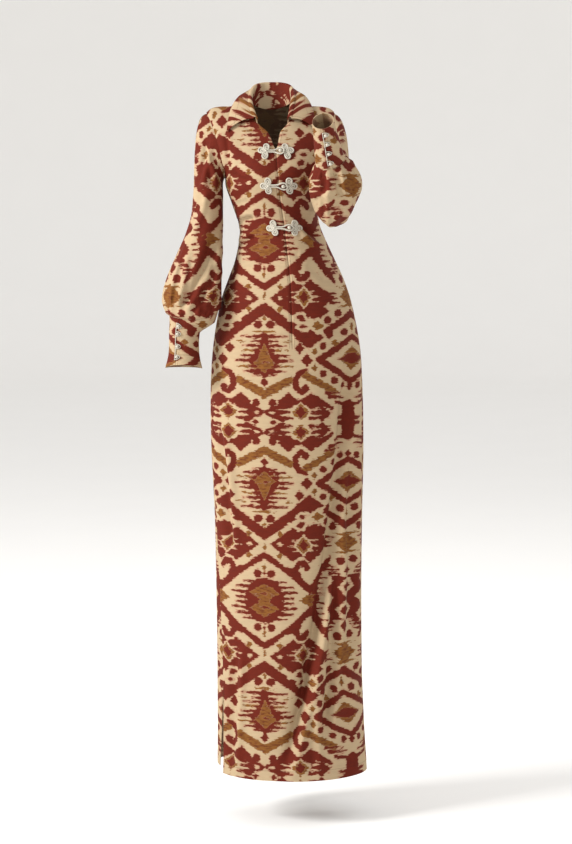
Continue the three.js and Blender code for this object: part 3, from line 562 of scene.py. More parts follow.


# Shapes of the print, painted in order over cream on one quarter of its repeat, 90 steps across
# by 180 up, mirrored at all its edges. A row of a band is ax, ay, bx, by and its half widths at a
# and b. A spot's or a diamond's is its middle x, y and its half sizes.
PRINT_STEPS = {"across": 90, "up": 180}
DIAMOND_SLOPE = 1.3
PRINT = [
    # The red ground between the large lozenges, with its feathered right side
    ("red", "diamond", [[38, 57, 33, 24], [52, 70, 13, 10]]),
    ("red", "band", [
        [50, -4, 51, 16, 5.5, 5.5], [51, 16, 59, 31, 5.5, 5], [0, 46, 20, 34, 3.2, 3.4],
        [20, 34, 32, 26, 4, 5], [32, 26, 46, 14, 5, 6],
    ]),
    ("cream", "band", [[46, 20, 64, 43, 3, 2.4]]),
    # The cream cross with its dots
    ("cream", "band", [[0, 57, 22, 38, 3.7, 3.6], [0, 57, 25, 78, 3.7, 3.2]]),
    ("ochre", "diamond", [[15.7, 45.7, 3.6, 3.6], [15.7, 67.6, 3.6, 3.6], [0, 54, 2, 4]]),
    ("cream", "spot", [[15.5, 57, 2.9, 2]]),
    # The upper curl
    ("cream", "band", [
        [22, 38, 28, 35, 2.4, 2], [28, 35, 33, 41, 1.8, 1.7], [33, 41, 38, 43, 1.7, 1.6],
        [38, 43, 44, 38, 1.6, 1.4], [46, 19, 41, 25, 3, 4], [41, 25, 36, 34, 3.6, 1],
    ]),
    ("red", "band", [
        [31, 31, 35, 38, 3, 2.6], [35, 38, 40, 38, 2.6, 2.6], [40, 38, 43, 33, 2.8, 3],
    ]),
    # The lower curl
    ("red", "band", [[0, 67, 20, 81, 5, 5], [20, 81, 34, 90, 5, 5.5]]),
    ("red", "diamond", [[45, 96, 15, 11]]),
    ("cream", "diamond", [[54, 84.5, 13, 9]]),
    ("cream", "band", [
        [25, 78, 34, 72, 2.2, 1.6], [34, 72, 39, 72, 1.6, 1.6], [39, 72, 43, 79, 1.6, 1.4],
        [44, 82, 36, 81, 2, 1.6], [36, 81, 32.5, 85, 1.6, 1.6], [32.5, 85, 36, 88.5, 1.6, 1.6],
        [36, 88.5, 44, 88, 1.6, 2],
    ]),
    ("red", "spot", [[39, 84.8, 3, 2]]),
    ("ochre", "diamond", [[53.5, 84.5, 6.2, 4.8]]),
    # The small diamond between the curls
    ("cream", "diamond", [[39.5, 56, 10.5, 11.5]]),
    ("cream", "band", [
        [39.5, 51, 27, 50.6, 1.8, 0.3], [39.5, 56, 23, 55.4, 1.8, 0.3],
        [39.5, 61, 26, 60.8, 1.8, 0.3], [39.5, 51, 53, 50.6, 1.8, 0.3],
        [39.5, 56, 57, 55.4, 1.8, 0.3], [39.5, 61, 54, 60.8, 1.8, 0.3],
    ]),
    ("ochre", "diamond", [[39.5, 56, 7.8, 9]]),
    ("red", "diamond", [[39.5, 56, 5, 6.4]]),
    # The medallion of the first kind
    ("red", "spot", [[0, 0, 20, 23]]),
    ("red", "band", [
        [8, 2.6, 29, 2.6, 2.3, 0.9], [8, 8, 33, 8, 2.3, 0.9], [8, 13.6, 29, 13.6, 2.3, 0.9],
        [4, 18.8, 22, 18.8, 1.8, 0.6],
    ]),
    ("cream", "band", [
        [31, 0, 18, 0, 1.4, 0.6], [32, 5.3, 20, 5.3, 1.4, 0.5], [31, 10.8, 17, 10.8, 1.4, 0.4],
        [27, 16.3, 15, 16.3, 1.3, 0.4],
    ]),
    ("ochre", "diamond", [[0, 8, 15, 9], [0, 0, 6, 12]]),
    ("red", "diamond", [[0, 7, 6, 1.6], [0, 27.5, 1.4, 3]]),
    ("red", "spot", [[7, 27.5, 3.9, 4]]),
    ("ochre", "diamond", [[0, 33.5, 2, 4], [47, 0, 12, 7.5]]),
    ("red", "band", [[51, 3, 56, 0, 2.5, 3]]),
    # The medallion of the second kind
    ("red", "diamond", [[0, 119, 17, 18]]),
    ("red", "band", [
        [0, 94, 0, 110, 3.2, 6], [3, 132.8, 12, 132.8, 1.5, 0.6], [6, 129.4, 21, 129.4, 2.0, 0.7],
    ]),
    ("ochre", "band", [[8, 124.6, 28, 124.6, 2.0, 0.7]]),
    ("red", "band", [[8, 118.8, 29, 118.8, 2.3, 0.9], [6, 113.9, 25, 113.9, 2.0, 0.7]]),
    ("ochre", "band", [[6, 108.6, 23, 108.6, 1.8, 0.6]]),
    ("red", "band", [[3, 104, 22, 104, 1.8, 0.6], [2, 99.6, 13, 99.6, 1.5, 0.6]]),
    ("ochre", "diamond", [[24, 100, 4, 1.4]]),
    ("red", "band", [[2, 94.8, 23, 94.8, 2.0, 0.7]]),
    ("ochre", "band", [[0, 89.8, 12, 89.8, 1.4, 0.2]]),
    ("red", "band", [[6, 108.6, 12, 108.6, 2.0, 0.7], [6, 124.6, 15, 124.6, 2.3, 0.9]]),
    ("ochre", "diamond", [[0, 121, 11, 10]]),
    ("ochre", "band", [[0, 119, 0, 102, 7.5, 0.5]]),
    ("red", "diamond", [[0, 120, 4.5, 1.3]]),
    ("red", "spot", [[6.2, 83, 4.4, 3.9]]),
    ("ochre", "diamond", [[0, 76.8, 2.4, 3.2]]),
    ("red", "diamond", [[42.6, 118.4, 6, 6.4], [35.1, 106.4, 5.2, 5.4]]),
    # The ochre chevron and the curl over it
    ("ochre", "band", [[-2, 153, 26, 138, 4.4, 4], [41, 133, 71, 150.5, 3.8, 3.2]]),
    ("red", "diamond", [[0, 140, 4.2, 4.6]]),
    ("red", "band", [
        [42, 128, 35, 131.5, 1.8, 3], [35, 131.5, 31, 138, 3, 3], [31, 138, 31.5, 145, 3, 2.8],
        [31.5, 145, 37, 150.5, 2.8, 2.5], [37, 150.5, 42, 148.5, 2.4, 2],
    ]),
    ("red", "spot", [[41.2, 146, 3.8, 3.4]]),
    # The right side: dotted rows, chevrons and the half medallions on the mirror line
    ("red", "band", [[55, 118, 90, 96.5, 3.3, 2.8], [55, 118, 90, 141, 3.3, 2.8]]),
    ("ochre", "diamond", [[90, 118, 14, 12]]),
    ("red", "diamond", [[90, 118, 16, 6]]),
    ("ochre", "diamond", [[50.5, 126, 3.6, 3.8], [50.5, 110, 3.4, 3.8]]),
    ("red", "spot", [[59, 132, 3.5, 3.4], [70.5, 139, 3.6, 3.3], [81.5, 144.6, 3, 3.3]]),
    ("red", "diamond", [[90, 146, 3.5, 4]]),
    ("red", "spot", [[59, 104.5, 3.5, 3.4]]),
    ("ochre", "diamond", [[71, 102, 4.2, 3.8]]),
    ("red", "spot", [[80.5, 91.5, 4, 3.8], [65, 92.5, 4, 4.4]]),
    ("red", "band", [[90, 73, 62, 90, 3.6, 3]]),
    ("ochre", "diamond", [[90, 86, 3, 5.4]]),
    ("red", "spot", [[74, 72.5, 3.7, 3.8], [63.5, 79, 3.8, 3.8]]),
    ("ochre", "diamond", [[90, 56, 14, 12]]),
    ("ochre", "band", [[90, 47, 73, 46.4, 1.8, 0.2], [90, 65, 74, 66, 1.8, 0.2]]),
    ("red", "spot", [[81.5, 38.5, 4.4, 4]]),
    ("red", "band", [
        [66, 62, 76, 62, 1.5, 0.6], [62, 57.5, 73, 57.5, 1.5, 0.6], [62, 53, 72, 53, 1.5, 0.6],
    ]),
    # The wave to the right of the first medallion
    ("red", "band", [
        [86, -2, 72, 10, 4.6, 5], [72, 10, 80, 19, 5, 3.6], [74, 21, 88, 21, 2.4, 0.6],
        [70, 25, 80, 25.5, 2, 0.8], [62, 29.5, 79, 29, 2, 0.6], [66, 33, 76, 32.5, 1.8, 0.6],
        [66, 35, 71, 42, 3, 1.2],
    ]),
    ("red", "diamond", [[90, 12, 7, 6], [90, 28, 5, 7]]),
    ("red", "band", [
        [54, 4.6, 64, 4.6, 1.5, 0.6], [54, 9.8, 62, 9.8, 1.5, 0.6], [54, 15.4, 63, 15.4, 1.5, 0.6],
        [58, 21, 67, 21, 1.6, 0.6],
    ]),
    # The ground about the third middle
    ("red", "diamond", [[24, 159, 10, 9], [47, 159, 12, 8]]),
    ("red", "band", [
        [16, 160, 52, 160, 2.4, 3], [52, 158, 68, 167, 4, 1.5], [13, 165.5, 22, 165.5, 2, 2],
        [0, 170, 18, 163, 1.4, 3], [0, 170, 18, 177, 1.4, 3], [12, 170, 26, 170, 3, 0.6],
        [12, 176, 28, 176, 3, 1], [48, 165, 64, 165, 1.8, 0.3], [48, 170.5, 68, 170.5, 1.8, 0.3],
        [46, 176, 66, 176, 1.8, 0.3],
    ]),
    ("red", "diamond", [[58, 172, 9, 8]]),
    ("cream", "spot", [[7.6, 170.3, 3, 1.6]]),
    ("cream", "diamond", [[36.5, 170, 11, 10.5]]),
    ("cream", "band", [
        [36.5, 167.4, 16, 167.4, 1.6, 0.3], [36.5, 172.8, 16, 172.8, 1.6, 0.3],
        [36.5, 167.4, 57, 167.4, 1.6, 0.3], [36.5, 172.8, 57, 172.8, 1.6, 0.3],
        [36.5, 180, 24, 180, 2.2, 0.3],
    ]),
    ("ochre", "diamond", [[36.5, 170, 9.2, 8.4]]),
    ("red", "diamond", [[36.5, 170, 5.8, 6]]),
    ("red", "spot", [[8.3, 161, 3.8, 4]]),
    ("cream", "diamond", [[0, 180, 7, 10], [9, 180, 7, 5]]),
    ("red", "diamond", [[9, 180, 3.4, 3]]),
    ("red", "band", [
        [62, 151, 80, 152, 1.6, 0.3], [66, 155, 84, 157, 2.2, 0.8], [72, 161, 86, 164, 1.6, 1.6],
        [90, 166, 90, 182, 6, 7], [76, 177, 88, 178, 1, 3],
    ]),
]


def fold_distance(value, period):
    """Distance to the nearest mirror line of a print that mirrors every period."""
    return np.abs((value + period) % (2 * period) - period)


def shape_field(shape, row, x, y):
    """How far inside a shape of the print each place lies, in steps of its table."""
    ax, ay, bx, by, *widths = row
    dx, dy = x - ax, y - ay
    if shape == "diamond":
        return (1 - abs(dx) / bx - abs(dy) / by) * min(bx, by) / DIAMOND_SLOPE
    if shape == "spot":
        return (1 - np.hypot(dx / bx, dy / by)) * min(bx, by)
    start, end = widths
    lx, ly = bx - ax, by - ay
    t = np.clip((dx * lx + dy * ly) / (lx * lx + ly * ly), 0, 1)
    return start + (end - start) * t - np.hypot(dx - lx * t, dy - ly * t)


def ikat(u, v):
    """Signed fields of the print, in millimetres: above 0 where the cloth is red, and where it is
    ochre."""
    x = fold_distance(u, PRINT_ACROSS) / PRINT_ACROSS * PRINT_STEPS["across"]
    y = fold_distance(v, PRINT_UP) / PRINT_UP * PRINT_STEPS["up"]
    fields = {name: np.full(x.shape, -9.0) for name in ("red", "ochre")}
    for colour, shape, rows in PRINT:
        for row in rows:
            inside = shape_field(shape, row, x, y)
            for name, field in fields.items():
                grown = np.maximum(field, inside) if colour == name else np.minimum(field, -inside)
                fields[name] = grown
    step = PRINT_ACROSS / PRINT_STEPS["across"]
    return fields["red"] * step, fields["ochre"] * step


def arc_along(grid, axis):
    step = np.linalg.norm(np.diff(grid, axis=axis), axis=-1)
    return np.insert(np.cumsum(step, axis=axis), 0, 0, axis=axis)


def body_print(grid, start):
    first = grid[:, start : start + 1, 0] - PRINT_AXIS_X
    u = running(grid, 1, grid[..., 0], start, first)
    row = SKIRT_ROWS["front"] if start == 0 else SKIRT_ROWS["back"]
    v = running(grid[row:], 0, grid[row:, :, 2], 0, grid[row : row + 1, :, 2])
    return u, np.vstack([grid[:row, :, 2], v]) - PRINT_ROW_Z


def armhole_roll(distance, height):
    """How far a panel dips to its armhole seam."""
    near = np.exp(-((distance / ARMHOLE_ROLL["width"]) ** 2))
    fade = np.clip((height - ARMPIT_Z) / ARMHOLE_ROLL["fade"], 0, 1)
    return ARMHOLE_ROLL["depth"] * near * fade


def front_panel(side):
    angle, z = front_places(side)
    outer = body_point(angle, z)
    if side == "right":
        outer = outer[:, ::-1]
    rows = SKIRT_ROWS["front"]
    outer[rows:, :, 1] = np.minimum(outer[rows:, :, 1], -SEAM_GAP / 2)
    edge = 0 if side == "left" else FRONT_COLUMNS
    u, v = body_print(outer if side == "left" else outer[:, ::-1], 0)
    u, v = (u, v) if side == "left" else (u[:, ::-1], v[:, ::-1])
    girth = arc_along(outer, 1)
    from_front = np.abs(girth - girth[:, edge : edge + 1])
    from_side = np.abs(girth - girth[:, FRONT_COLUMNS - edge : FRONT_COLUMNS - edge + 1])
    height = outer[:, :, 2]
    opened = np.clip((height - OPENING_END_Z) / EDGE_ROLL["fade"], 0, 1)
    roll = EDGE_ROLL["depth"] * np.exp(-((from_front / EDGE_ROLL["width"]) ** 2)) * opened
    roll = roll + armhole_roll(from_side, height)
    outer = outer - grid_normals(outer, False) * roll[..., None]
    front_edge = np.where(height > OPENING_END_Z, from_front, NO_EDGE)
    slit_edge = np.where(height < SLIT_TOP[side], from_side, NO_EDGE)
    edges = (np.minimum(front_edge, slit_edge), height - HEM_Z)
    return cloth_piece(f"front_{side}", outer, u, v, edges=edges)


def back_panel():
    angle, z = back_places()
    outer = body_point(angle, z)
    rows = SKIRT_ROWS["back"]
    outer[rows:, :, 1] = np.maximum(outer[rows:, :, 1], SEAM_GAP / 2)
    u, v = body_print(outer, BACK_COLUMNS // 2)
    girth = arc_along(outer, 1)
    from_left, from_right = girth, girth[:, -1:] - girth
    height = outer[:, :, 2]
    roll = armhole_roll(np.minimum(from_left, from_right), height)
    outer = outer - grid_normals(outer, False) * roll[..., None]
    left = np.where(height < SLIT_TOP["left"], from_left, NO_EDGE)
    right = np.where(height < SLIT_TOP["right"], from_right, NO_EDGE)
    edges = (np.minimum(left, right), height - height[:1])
    return cloth_piece("back", outer, u, v, edges=edges)


def armhole(side):
    """The armhole as the sleeve meets it, as the solids have it."""
    sign = SIDES[side]
    share = yoke_share(YOKE_ROWS)[::-1]
    outer = yoke_z(share, ARMHOLE_TOP_Z)
    x = body("middle", outer) + sign * smooth(ARMHOLE["z"], ARMHOLE["half"], outer)
    in_front, behind = yoke_z(share, shoulder_z(x, outer)), yoke_z(share, shoulder_z(x, 0 * x))
    angle = np.concatenate([angle_at(x, in_front), (math.pi - angle_at(x, behind))[::-1][1:-1]])
    z = np.concatenate([in_front, behind[::-1][1:-1]])
    point, normal = body_point(angle, z), body_normal(angle, z)
    inwards = np.array([sign * (SHOULDER_TIP - 12), 0, ARMPIT_Z / 2]) - point
    edge = np.roll(point, -1, 0) - np.roll(point, 1, 0)

    def facing(direction):
        direction = unit(direction)
        return direction * np.sign(np.sum(direction * inwards, -1, keepdims=True))

    leaving = np.array([sign, 0, -0.3]) / math.hypot(1, 0.3)
    point = point - facing(np.cross(edge, normal)) * ARMHOLE_TUCK["across"]
    return point - normal * ARMHOLE_TUCK["in"], leaving


def ring_frames(rings, t, side):
    step = 0.02
    row = along(rings, t)
    a, b = along(rings, np.clip(t - step, 0, 1)), along(rings, np.clip(t + step, 0, 1))
    forward = unit(np.stack([b[k] - a[k] for k in "xyz"], -1))
    out = unit(np.array([SIDES[side], 0.0, 0.0]) - forward * (SIDES[side] * forward[:, :1]))
    front = np.cross(out, forward) * -SIDES[side]
    centre = np.stack([row[k] for k in "xyz"], -1)
    return row, centre, forward, out, front


def gathers(turn):
    """Uneven waves round a gathered edge, between -1 and 1."""
    waves = np.cos(GATHERS * turn) + 0.55 * np.cos(2 * GATHERS * turn + 1.3 + np.sin(turn))
    return (waves + 0.35 * np.cos(3 * GATHERS * turn + 2 * np.sin(2 * turn))) / 1.6


def fine_gathers(turn):
    """Narrow uneven pleats round an edge, between -1 and 1."""
    drift = 1.4 * np.sin(turn + 0.7) + 0.6 * np.sin(3 * turn)
    return (np.cos(19 * turn + 3 * drift) + 0.6 * np.cos(31 * turn - 2 * drift)) / 1.6


def ring_points(frames, turn):
    row, centre, _, out, front = frames
    wave = row["gather"][:, None] * gathers(turn)[None, :]
    sine = np.sin(turn)[None, :]
    droop = -row["sag"][:, None] * np.abs(sine) * np.where(sine > 0, 1, 0.5)
    points = (
        centre[:, None]
        + out[:, None] * ((row["half"][:, None] + wave) * np.cos(turn)[None, :])[..., None]
        + front[:, None] * ((row["deep"][:, None] + wave) * sine)[..., None]
    )
    points[..., 2] += droop
    return points


def facing_out(outer, closed):
    """A tube's grid and its normals, turned so that they point outwards."""
    normal = grid_normals(outer, closed)
    if np.sum(normal * (outer - outer.mean(1, keepdims=True))) < 0:
        return outer[:, ::-1], -normal[:, ::-1]
    return outer, normal


def facing_column(grid):
    """The column of a tube that faces forward most."""
    return int(np.argmin(np.mean(grid[..., 1] - grid[..., 1].mean(1, keepdims=True), axis=0)))


def tube_print(grid, column, at_z, set_z, axis_x):
    """Print coordinates round a closed tube, split where its hidden seam runs. The print's height
    is set_z where the tube's forward line passes at_z first."""
    count = grid.shape[1]
    turned = np.roll(grid, count // 2 - column, 1)
    step = np.linalg.norm(np.diff(turned, axis=1), axis=-1)
    flat = np.abs(np.diff(turned[..., 0], axis=1))
    grown = np.maximum(flat, LEAST_TURN * step)
    total = np.insert(np.cumsum(grown, axis=1), 0, 0, axis=1)
    middle = count // 2
    way = np.sign(turned[:, middle + 3, 0] - turned[:, middle - 3, 0])[:, None]
    u = (total - total[:, middle : middle + 1]) * way + turned[:, middle : middle + 1, 0] - axis_x
    u = np.roll(u, column - count // 2, 1)
    line = grid[:, column]
    drop = np.linalg.norm(np.diff(line, axis=0), axis=-1)
    fall = np.maximum(np.abs(np.diff(line[:, 2])), LEAST_TURN * drop)
    v = -np.insert(np.cumsum(fall), 0, 0)
    v = v - v[np.argmax(line[:, 2] <= at_z)] + set_z
    level = grid[..., 2] - line[:, 2:]
    return u, v[:, None] + level - PRINT_ROW_Z


SLEEVE_PRINT_AXIS = {"right": -224.5 + PRINT_ACROSS, "left": 173.6 - PRINT_ACROSS}


def side_print(grid, column, at_z, set_z, side):
    """The print of a sleeve or cuff. The left arm is bent up, so its print runs from the cuff."""
    way = -1 if side == "left" else 1
    u, v = tube_print(grid[::way], column, at_z, set_z, SLEEVE_PRINT_AXIS[side])
    return u[::way], v[::way]


def sleeve(side):
    rings = SLEEVE_RINGS[side]
    count = 2 * YOKE_ROWS
    turn = 2 * math.pi * np.arange(count) / count
    hole, leaving = armhole(side)
    frames = ring_frames(rings, np.linspace(0, 1, SLEEVE_RING_COUNT + 1), side)
    tube = ring_points(frames, turn)
    forward = frames[2][0]
    to = tube[0]
    reach = np.linalg.norm(hole - to, axis=-1)[None, :, None]
    t = (np.arange(CAP_RINGS) / CAP_RINGS)[:, None, None]
    t2, t3 = t * t, t * t * t
    cap = (
        hole[None] * (2 * t3 - 3 * t2 + 1)
        + leaving * (t3 - 2 * t2 + t) * reach * CAP_PULL["hole"]
        + to[None] * (3 * t2 - 2 * t3)
        + forward * (t3 - t2) * reach * CAP_PULL["tube"]
    )
    outer = np.concatenate([cap, tube])
    if side == "left":
        outer = outer[:, ::-1]
    outer, normal = facing_out(outer, True)
    facing = np.sign(normal[..., 1])
    lift = fold_offset(SLEEVE_FOLDS[side], facing, outer[..., 0], outer[..., 2])
    lift = lift * np.abs(normal[..., 1]) ** 0.5
    share = np.linspace(0, 1, len(outer))[:, None]

    def pleats(place, size, turn):
        near = np.exp(-((place / size["reach"]) ** 2))
        return near * size["depth"] * fine_gathers(turn)[None, :]

    near_cuff = pleats(1 - share, CUFF_PLEATS, turn)
    at_cap = pleats(share, CAP_PLEATS, turn + 2)
    lift = lift + near_cuff + at_cap
    from_cap, from_cuff = share * SLEEVE_EASING["cap"], (1 - share) * SLEEVE_EASING["cuff"]
    easing = np.clip(np.minimum(from_cap, from_cuff), 0, 1)
    life = cloth_life(outer[..., 0] + 40, outer[..., 2]) * 1.2
    outer = outer + normal * ((lift + life) * easing)[..., None]
    column = facing_column(outer[-SLEEVE_RING_COUNT // 3 :])
    at_z, set_z = (-182, -178) if side == "left" else (outer[0, column, 2],) * 2
    u, v = side_print(outer, column, at_z, set_z, side)
    return cloth_piece(f"sleeve_{side}", outer, u, v, closed=True)


def cuff_rings(side):
    last = {name: values[-1] for name, values in SLEEVE_RINGS[side].items()}
    last["gather"] = 0.0
    return {name: np.insert(CUFF_RINGS[side][name], 0, last[name]) for name in RING_COLUMNS}


def cuff(side):
    rings = cuff_rings(side)
    t = np.linspace(0, 1, CUFF_RING_COUNT + 1)
    frames = ring_frames(rings, t, side)
    start = ring_frames(SLEEVE_RINGS[side], np.array([1.0]), side)
    frames[1][0] = start[1][0] + start[2][0] * SEAM_GAP
    for i in (2, 3, 4):
        frames[i][0] = start[i][0]
    count = 2 * YOKE_ROWS
    slit = 2 * math.pi * CUFF_SLIT_TURN[side]
    turn = slit + 2 * math.pi * np.arange(count + 1) / count
    gap = CUFF_SLIT_GAP / 2 / CUFF_RADIUS
    turn[0] += gap
    turn[-1] -= gap
    outer = ring_points(frames, turn)
    outer, normal = facing_out(outer, False)
    pleat = np.exp(-((t * 9) ** 2))[:, None] * gathers(turn)[None, :] * 0.7
    outer = outer + normal * pleat[..., None]
    whole = outer[:, :-1]
    column = facing_column(whole)
    at_z = whole[-1 if side == "left" else 0, column, 2]
    set_z = at_z + 12 if side == "left" else at_z
    u, v = side_print(whole, column, at_z, set_z, side)
    u = np.hstack([u, u[:, :1]])
    v = np.hstack([v, v[:, :1]])
    girth = arc_along(outer, 1)
    length = arc_along(outer, 0)
    edges = (np.minimum(girth, girth[:, -1:] - girth), np.minimum(length, length[-1:] - length))
    return cloth_piece(f"cuff_{side}", outer, u, v, edges=edges)


def collar_sections(station):
    """Cross-sections of the collar from the neck seam over the roll to the outer edge."""
    sign = np.where(station <= 1, -1.0, 1.0)
    place = np.where(station <= 1, station, 2 - station)
    row = along(COLLAR, place)
    in_front = place < 0.5
    front_x = front_edge_x(row["neck"]) + sign * smooth(
        NECKLINE["z"], NECKLINE["half"], row["neck"]
    )
    back_x = sign * NECK_HALF * np.sqrt(np.clip(1 + row["neck"] / BACK_NECK_DROP, 0, 1))
    neck_x = np.where(in_front, front_x, back_x)
    neck_angle = angle_at(neck_x, row["neck"])
    neck_angle = np.where(in_front, neck_angle, math.pi - neck_angle)
    seam = body_point(neck_angle, row["neck"], False)
    seam = seam + body_normal(neck_angle, row["neck"]) * COLLAR_SEAM_LIFT
    share = np.clip(2 * place, 0, 1)
    middle = front_edge_x(row["neck"]) * (1 - share) + COLLAR_BACK_X * share
    roll = np.stack([middle + sign * row["rollX"], row["rollY"], row["rollZ"]], -1)
    edge_x = middle + sign * row["edgeX"]
    on_front = angle_at(edge_x, row["edgeZ"])
    edge_angle = np.where(row["face"] < 0, on_front, math.pi - on_front)
    edge = body_point(edge_angle, row["edgeZ"], False)
    edge = edge + body_normal(edge_angle, row["edgeZ"]) * COLLAR_CLEAR
    out = unit((edge - seam) * [1, 1, 0])
    up = np.array([0.0, 0.0, 1.0])
    control = (roll + edge) / 2 + out * row["belly"][:, None] + up * row["rise"][:, None]
    profile = [seam - out * COLLAR_TUCK["in"] - up * COLLAR_TUCK["down"], seam - out * 0.6]
    turned = lambda degrees: (
        roll
        - out * math.cos(math.radians(degrees)) * ROLL_RADIUS
        + up * math.sin(math.radians(degrees)) * ROLL_RADIUS
    )
    for t in np.linspace(0.12, 0.9, 7):
        profile.append(seam * (1 - t) + turned(0) * t)
    for degrees in range(5, 176, 17):
        profile.append(turned(degrees))
    start = roll + out * ROLL_RADIUS
    for t in np.linspace(0.05, 1, 26):
        profile.append(start * (1 - t) ** 2 + control * 2 * t * (1 - t) + edge * t * t)
    return np.stack(profile)


def collar():
    station = np.linspace(0, 2, COLLAR_COLUMNS + 1)
    outer = collar_sections(station)
    middle = COLLAR_COLUMNS // 2
    length = arc_along(outer, 0)
    v = outer[ROLL_ROW, :, 2] - (length - length[ROLL_ROW])
    first = outer[:, middle : middle + 1, 0] - PRINT_AXIS_X
    u = running(outer, 1, outer[..., 0], middle, first)
    girth = arc_along(outer, 1)
    ends = np.minimum(girth, girth[:, -1:] - girth)
    edges = (ends, length[-1:] - length)
    made = cloth_piece(
        "collar", outer, u, v - PRINT_ROW_Z, thickness=-COLLAR_CLOTH, edges=edges, reverse=0.0
    )
    made.data.flip_normals()
    return made


# Materials

COLOURS = {
    "cream": (0.415, 0.305, 0.183),
    "pink": (0.385, 0.220, 0.132),
    "red": (0.105, 0.0112, 0.0042),
    "ochre": (0.190, 0.073, 0.015),
    "umber": (0.112, 0.029, 0.008),
    "cord": (0.56, 0.52, 0.43),
    "floor": (0.90, 0.89, 0.87),
}


class Nodes:
    """Short ways to add nodes to a material."""

    def __init__(self, name):
        self.material = bpy.data.materials.new(name)
        self.material.use_nodes = True
        self.tree = self.material.node_tree
        self.tree.nodes.clear()

    def add(self, kind, inputs=(), **settings):
        node = self.tree.nodes.new(kind)
        for key, value in settings.items():
            setattr(node, key, value)
        for key, value in dict(inputs).items():
            if isinstance(value, bpy.types.NodeSocket):
                self.tree.links.new(value, node.inputs[key])
            else:
                node.inputs[key].default_value = value
        return node

    def math(self, operation, a, b=0.0, c=0.0):
        node = self.add("ShaderNodeMath", {0: a, 1: b, 2: c}, operation=operation)
        return node.outputs[0]

    def attribute(self, name):
        node = self.add("ShaderNodeAttribute", attribute_name=name)
        return node.outputs["Fac"]

    def step(self, value, low, high):
        node = self.add(
            "ShaderNodeMapRange",
            {"Value": value, "From Min": low, "From Max": high},
            interpolation_type="SMOOTHSTEP",
        )
        return node.outputs["Result"]

    def mix(self, factor, a, b):
        node = self.add("ShaderNodeMix", {0: factor, 6: a, 7: b}, data_type="RGBA")
        return node.outputs[2]

    def noise(self, vector, scale, detail=2.0):
        node = self.add(
            "ShaderNodeTexNoise", {"Vector": vector, "Scale": scale, "Detail": detail}
        )
        return node.outputs["Fac"]

    def finish(self, colour, roughness, height, distance):
        bump = self.add("ShaderNodeBump", {"Height": height, "Distance": distance})
        shader = self.add(
            "ShaderNodeBsdfPrincipled",
            {"Base Color": colour, "Roughness": roughness, "Normal": bump.outputs[0]},
        )
        output = self.add("ShaderNodeOutputMaterial")
        self.tree.links.new(shader.outputs[0], output.inputs[0])
        return shader


def rgba(name, factor=1.0):
    return (*[part * factor for part in COLOURS[name]], 1.0)


THREAD_PITCH = 0.0008


@cache
def ikat_cloth():
    """Plain-weave cotton with the print, blurred along its threads, and stitches by its edges."""
    n = Nodes("ikat_cloth")
    place = n.add("ShaderNodeUVMap", uv_map="cloth").outputs[0]
    split = n.add("ShaderNodeSeparateXYZ", {0: place})
    u, v = split.outputs[0], split.outputs[1]
    stretch = n.add("ShaderNodeMapping", {"Vector": place, "Scale": (85, 260, 1)}).outputs[0]
    streak = n.math("SUBTRACT", n.noise(stretch, 1.0, 3.0), 0.5)
    thread = n.add("ShaderNodeMapping", {"Vector": place, "Scale": (160, 900, 1)}).outputs[0]
    fibre = n.math("SUBTRACT", n.noise(thread, 1.0, 1.0), 0.5)
    feather = n.math("MULTIPLY_ADD", fibre, 3.0, n.math("MULTIPLY", streak, 10.5))
    red = n.math("ADD", feather, n.attribute("red"))
    ochre = n.math("MULTIPLY_ADD", feather, -1.3, n.attribute("ochre"))
    shade = n.noise(stretch, 0.6, 2.0)
    cream = n.mix(shade, rgba("cream", 0.9), rgba("cream", 1.1))
    dark = n.mix(shade, rgba("red", 0.8), rgba("red", 1.25))
    brown = n.mix(shade, rgba("ochre", 0.7), rgba("ochre", 1.25))
    brown = n.mix(n.step(streak, -0.08, 0.16), brown, rgba("umber"))
    cream = n.mix(n.step(red, -2.6, -0.6), cream, rgba("pink"))
    colour = n.mix(n.step(red, -0.6, 0.6), cream, dark)
    colour = n.mix(n.step(ochre, -1.0, 1.0), colour, brown)
    inside = n.attribute("inside")
    paler = n.mix(0.45, colour, rgba("cream", 0.9))
    colour = n.mix(inside, colour, paler)
    threads = [n.math("SINE", n.math("MULTIPLY", w, 2 * math.pi / THREAD_PITCH)) for w in (u, v)]
    weave = n.math("MULTIPLY", *threads)
    slub = n.math("MULTIPLY", n.noise(stretch, 1.6, 2.0), 1.2)
    height = n.math("MULTIPLY_ADD", weave, 0.25, slub)
    stitches = stitch_mask(n, u, v)
    height = n.math("MULTIPLY_ADD", stitches, -2.0, height)
    colour = n.mix(n.math("MULTIPLY", stitches, 0.6), colour, rgba("red", 0.7))
    roughness = n.math("MULTIPLY_ADD", shade, 0.16, 0.74)
    shader = n.finish(colour, roughness, height, 0.00016)
    shader.inputs["Specular IOR Level"].default_value = 0.15
    return n.material


STITCH = {"pitch": 0.0034, "side": 5.0, "low": 22.0, "width": 0.55}


def stitch_mask(n, u, v):
    """Rows of stitches along the upright and the level edges."""

    def row(edge, at, run):
        near = n.math("ABSOLUTE", n.math("SUBTRACT", n.attribute(edge), at))
        line = n.step(near, STITCH["width"], STITCH["width"] * 0.4)
        dash = n.math("PINGPONG", run, STITCH["pitch"] / 2)
        return n.math("MULTIPLY", line, n.step(dash, 0.0003, 0.0006))

    upright = row("side_edge", STITCH["side"], v)
    level = row("low_edge", STITCH["low"], u)
    return n.math("MAXIMUM", upright, level)


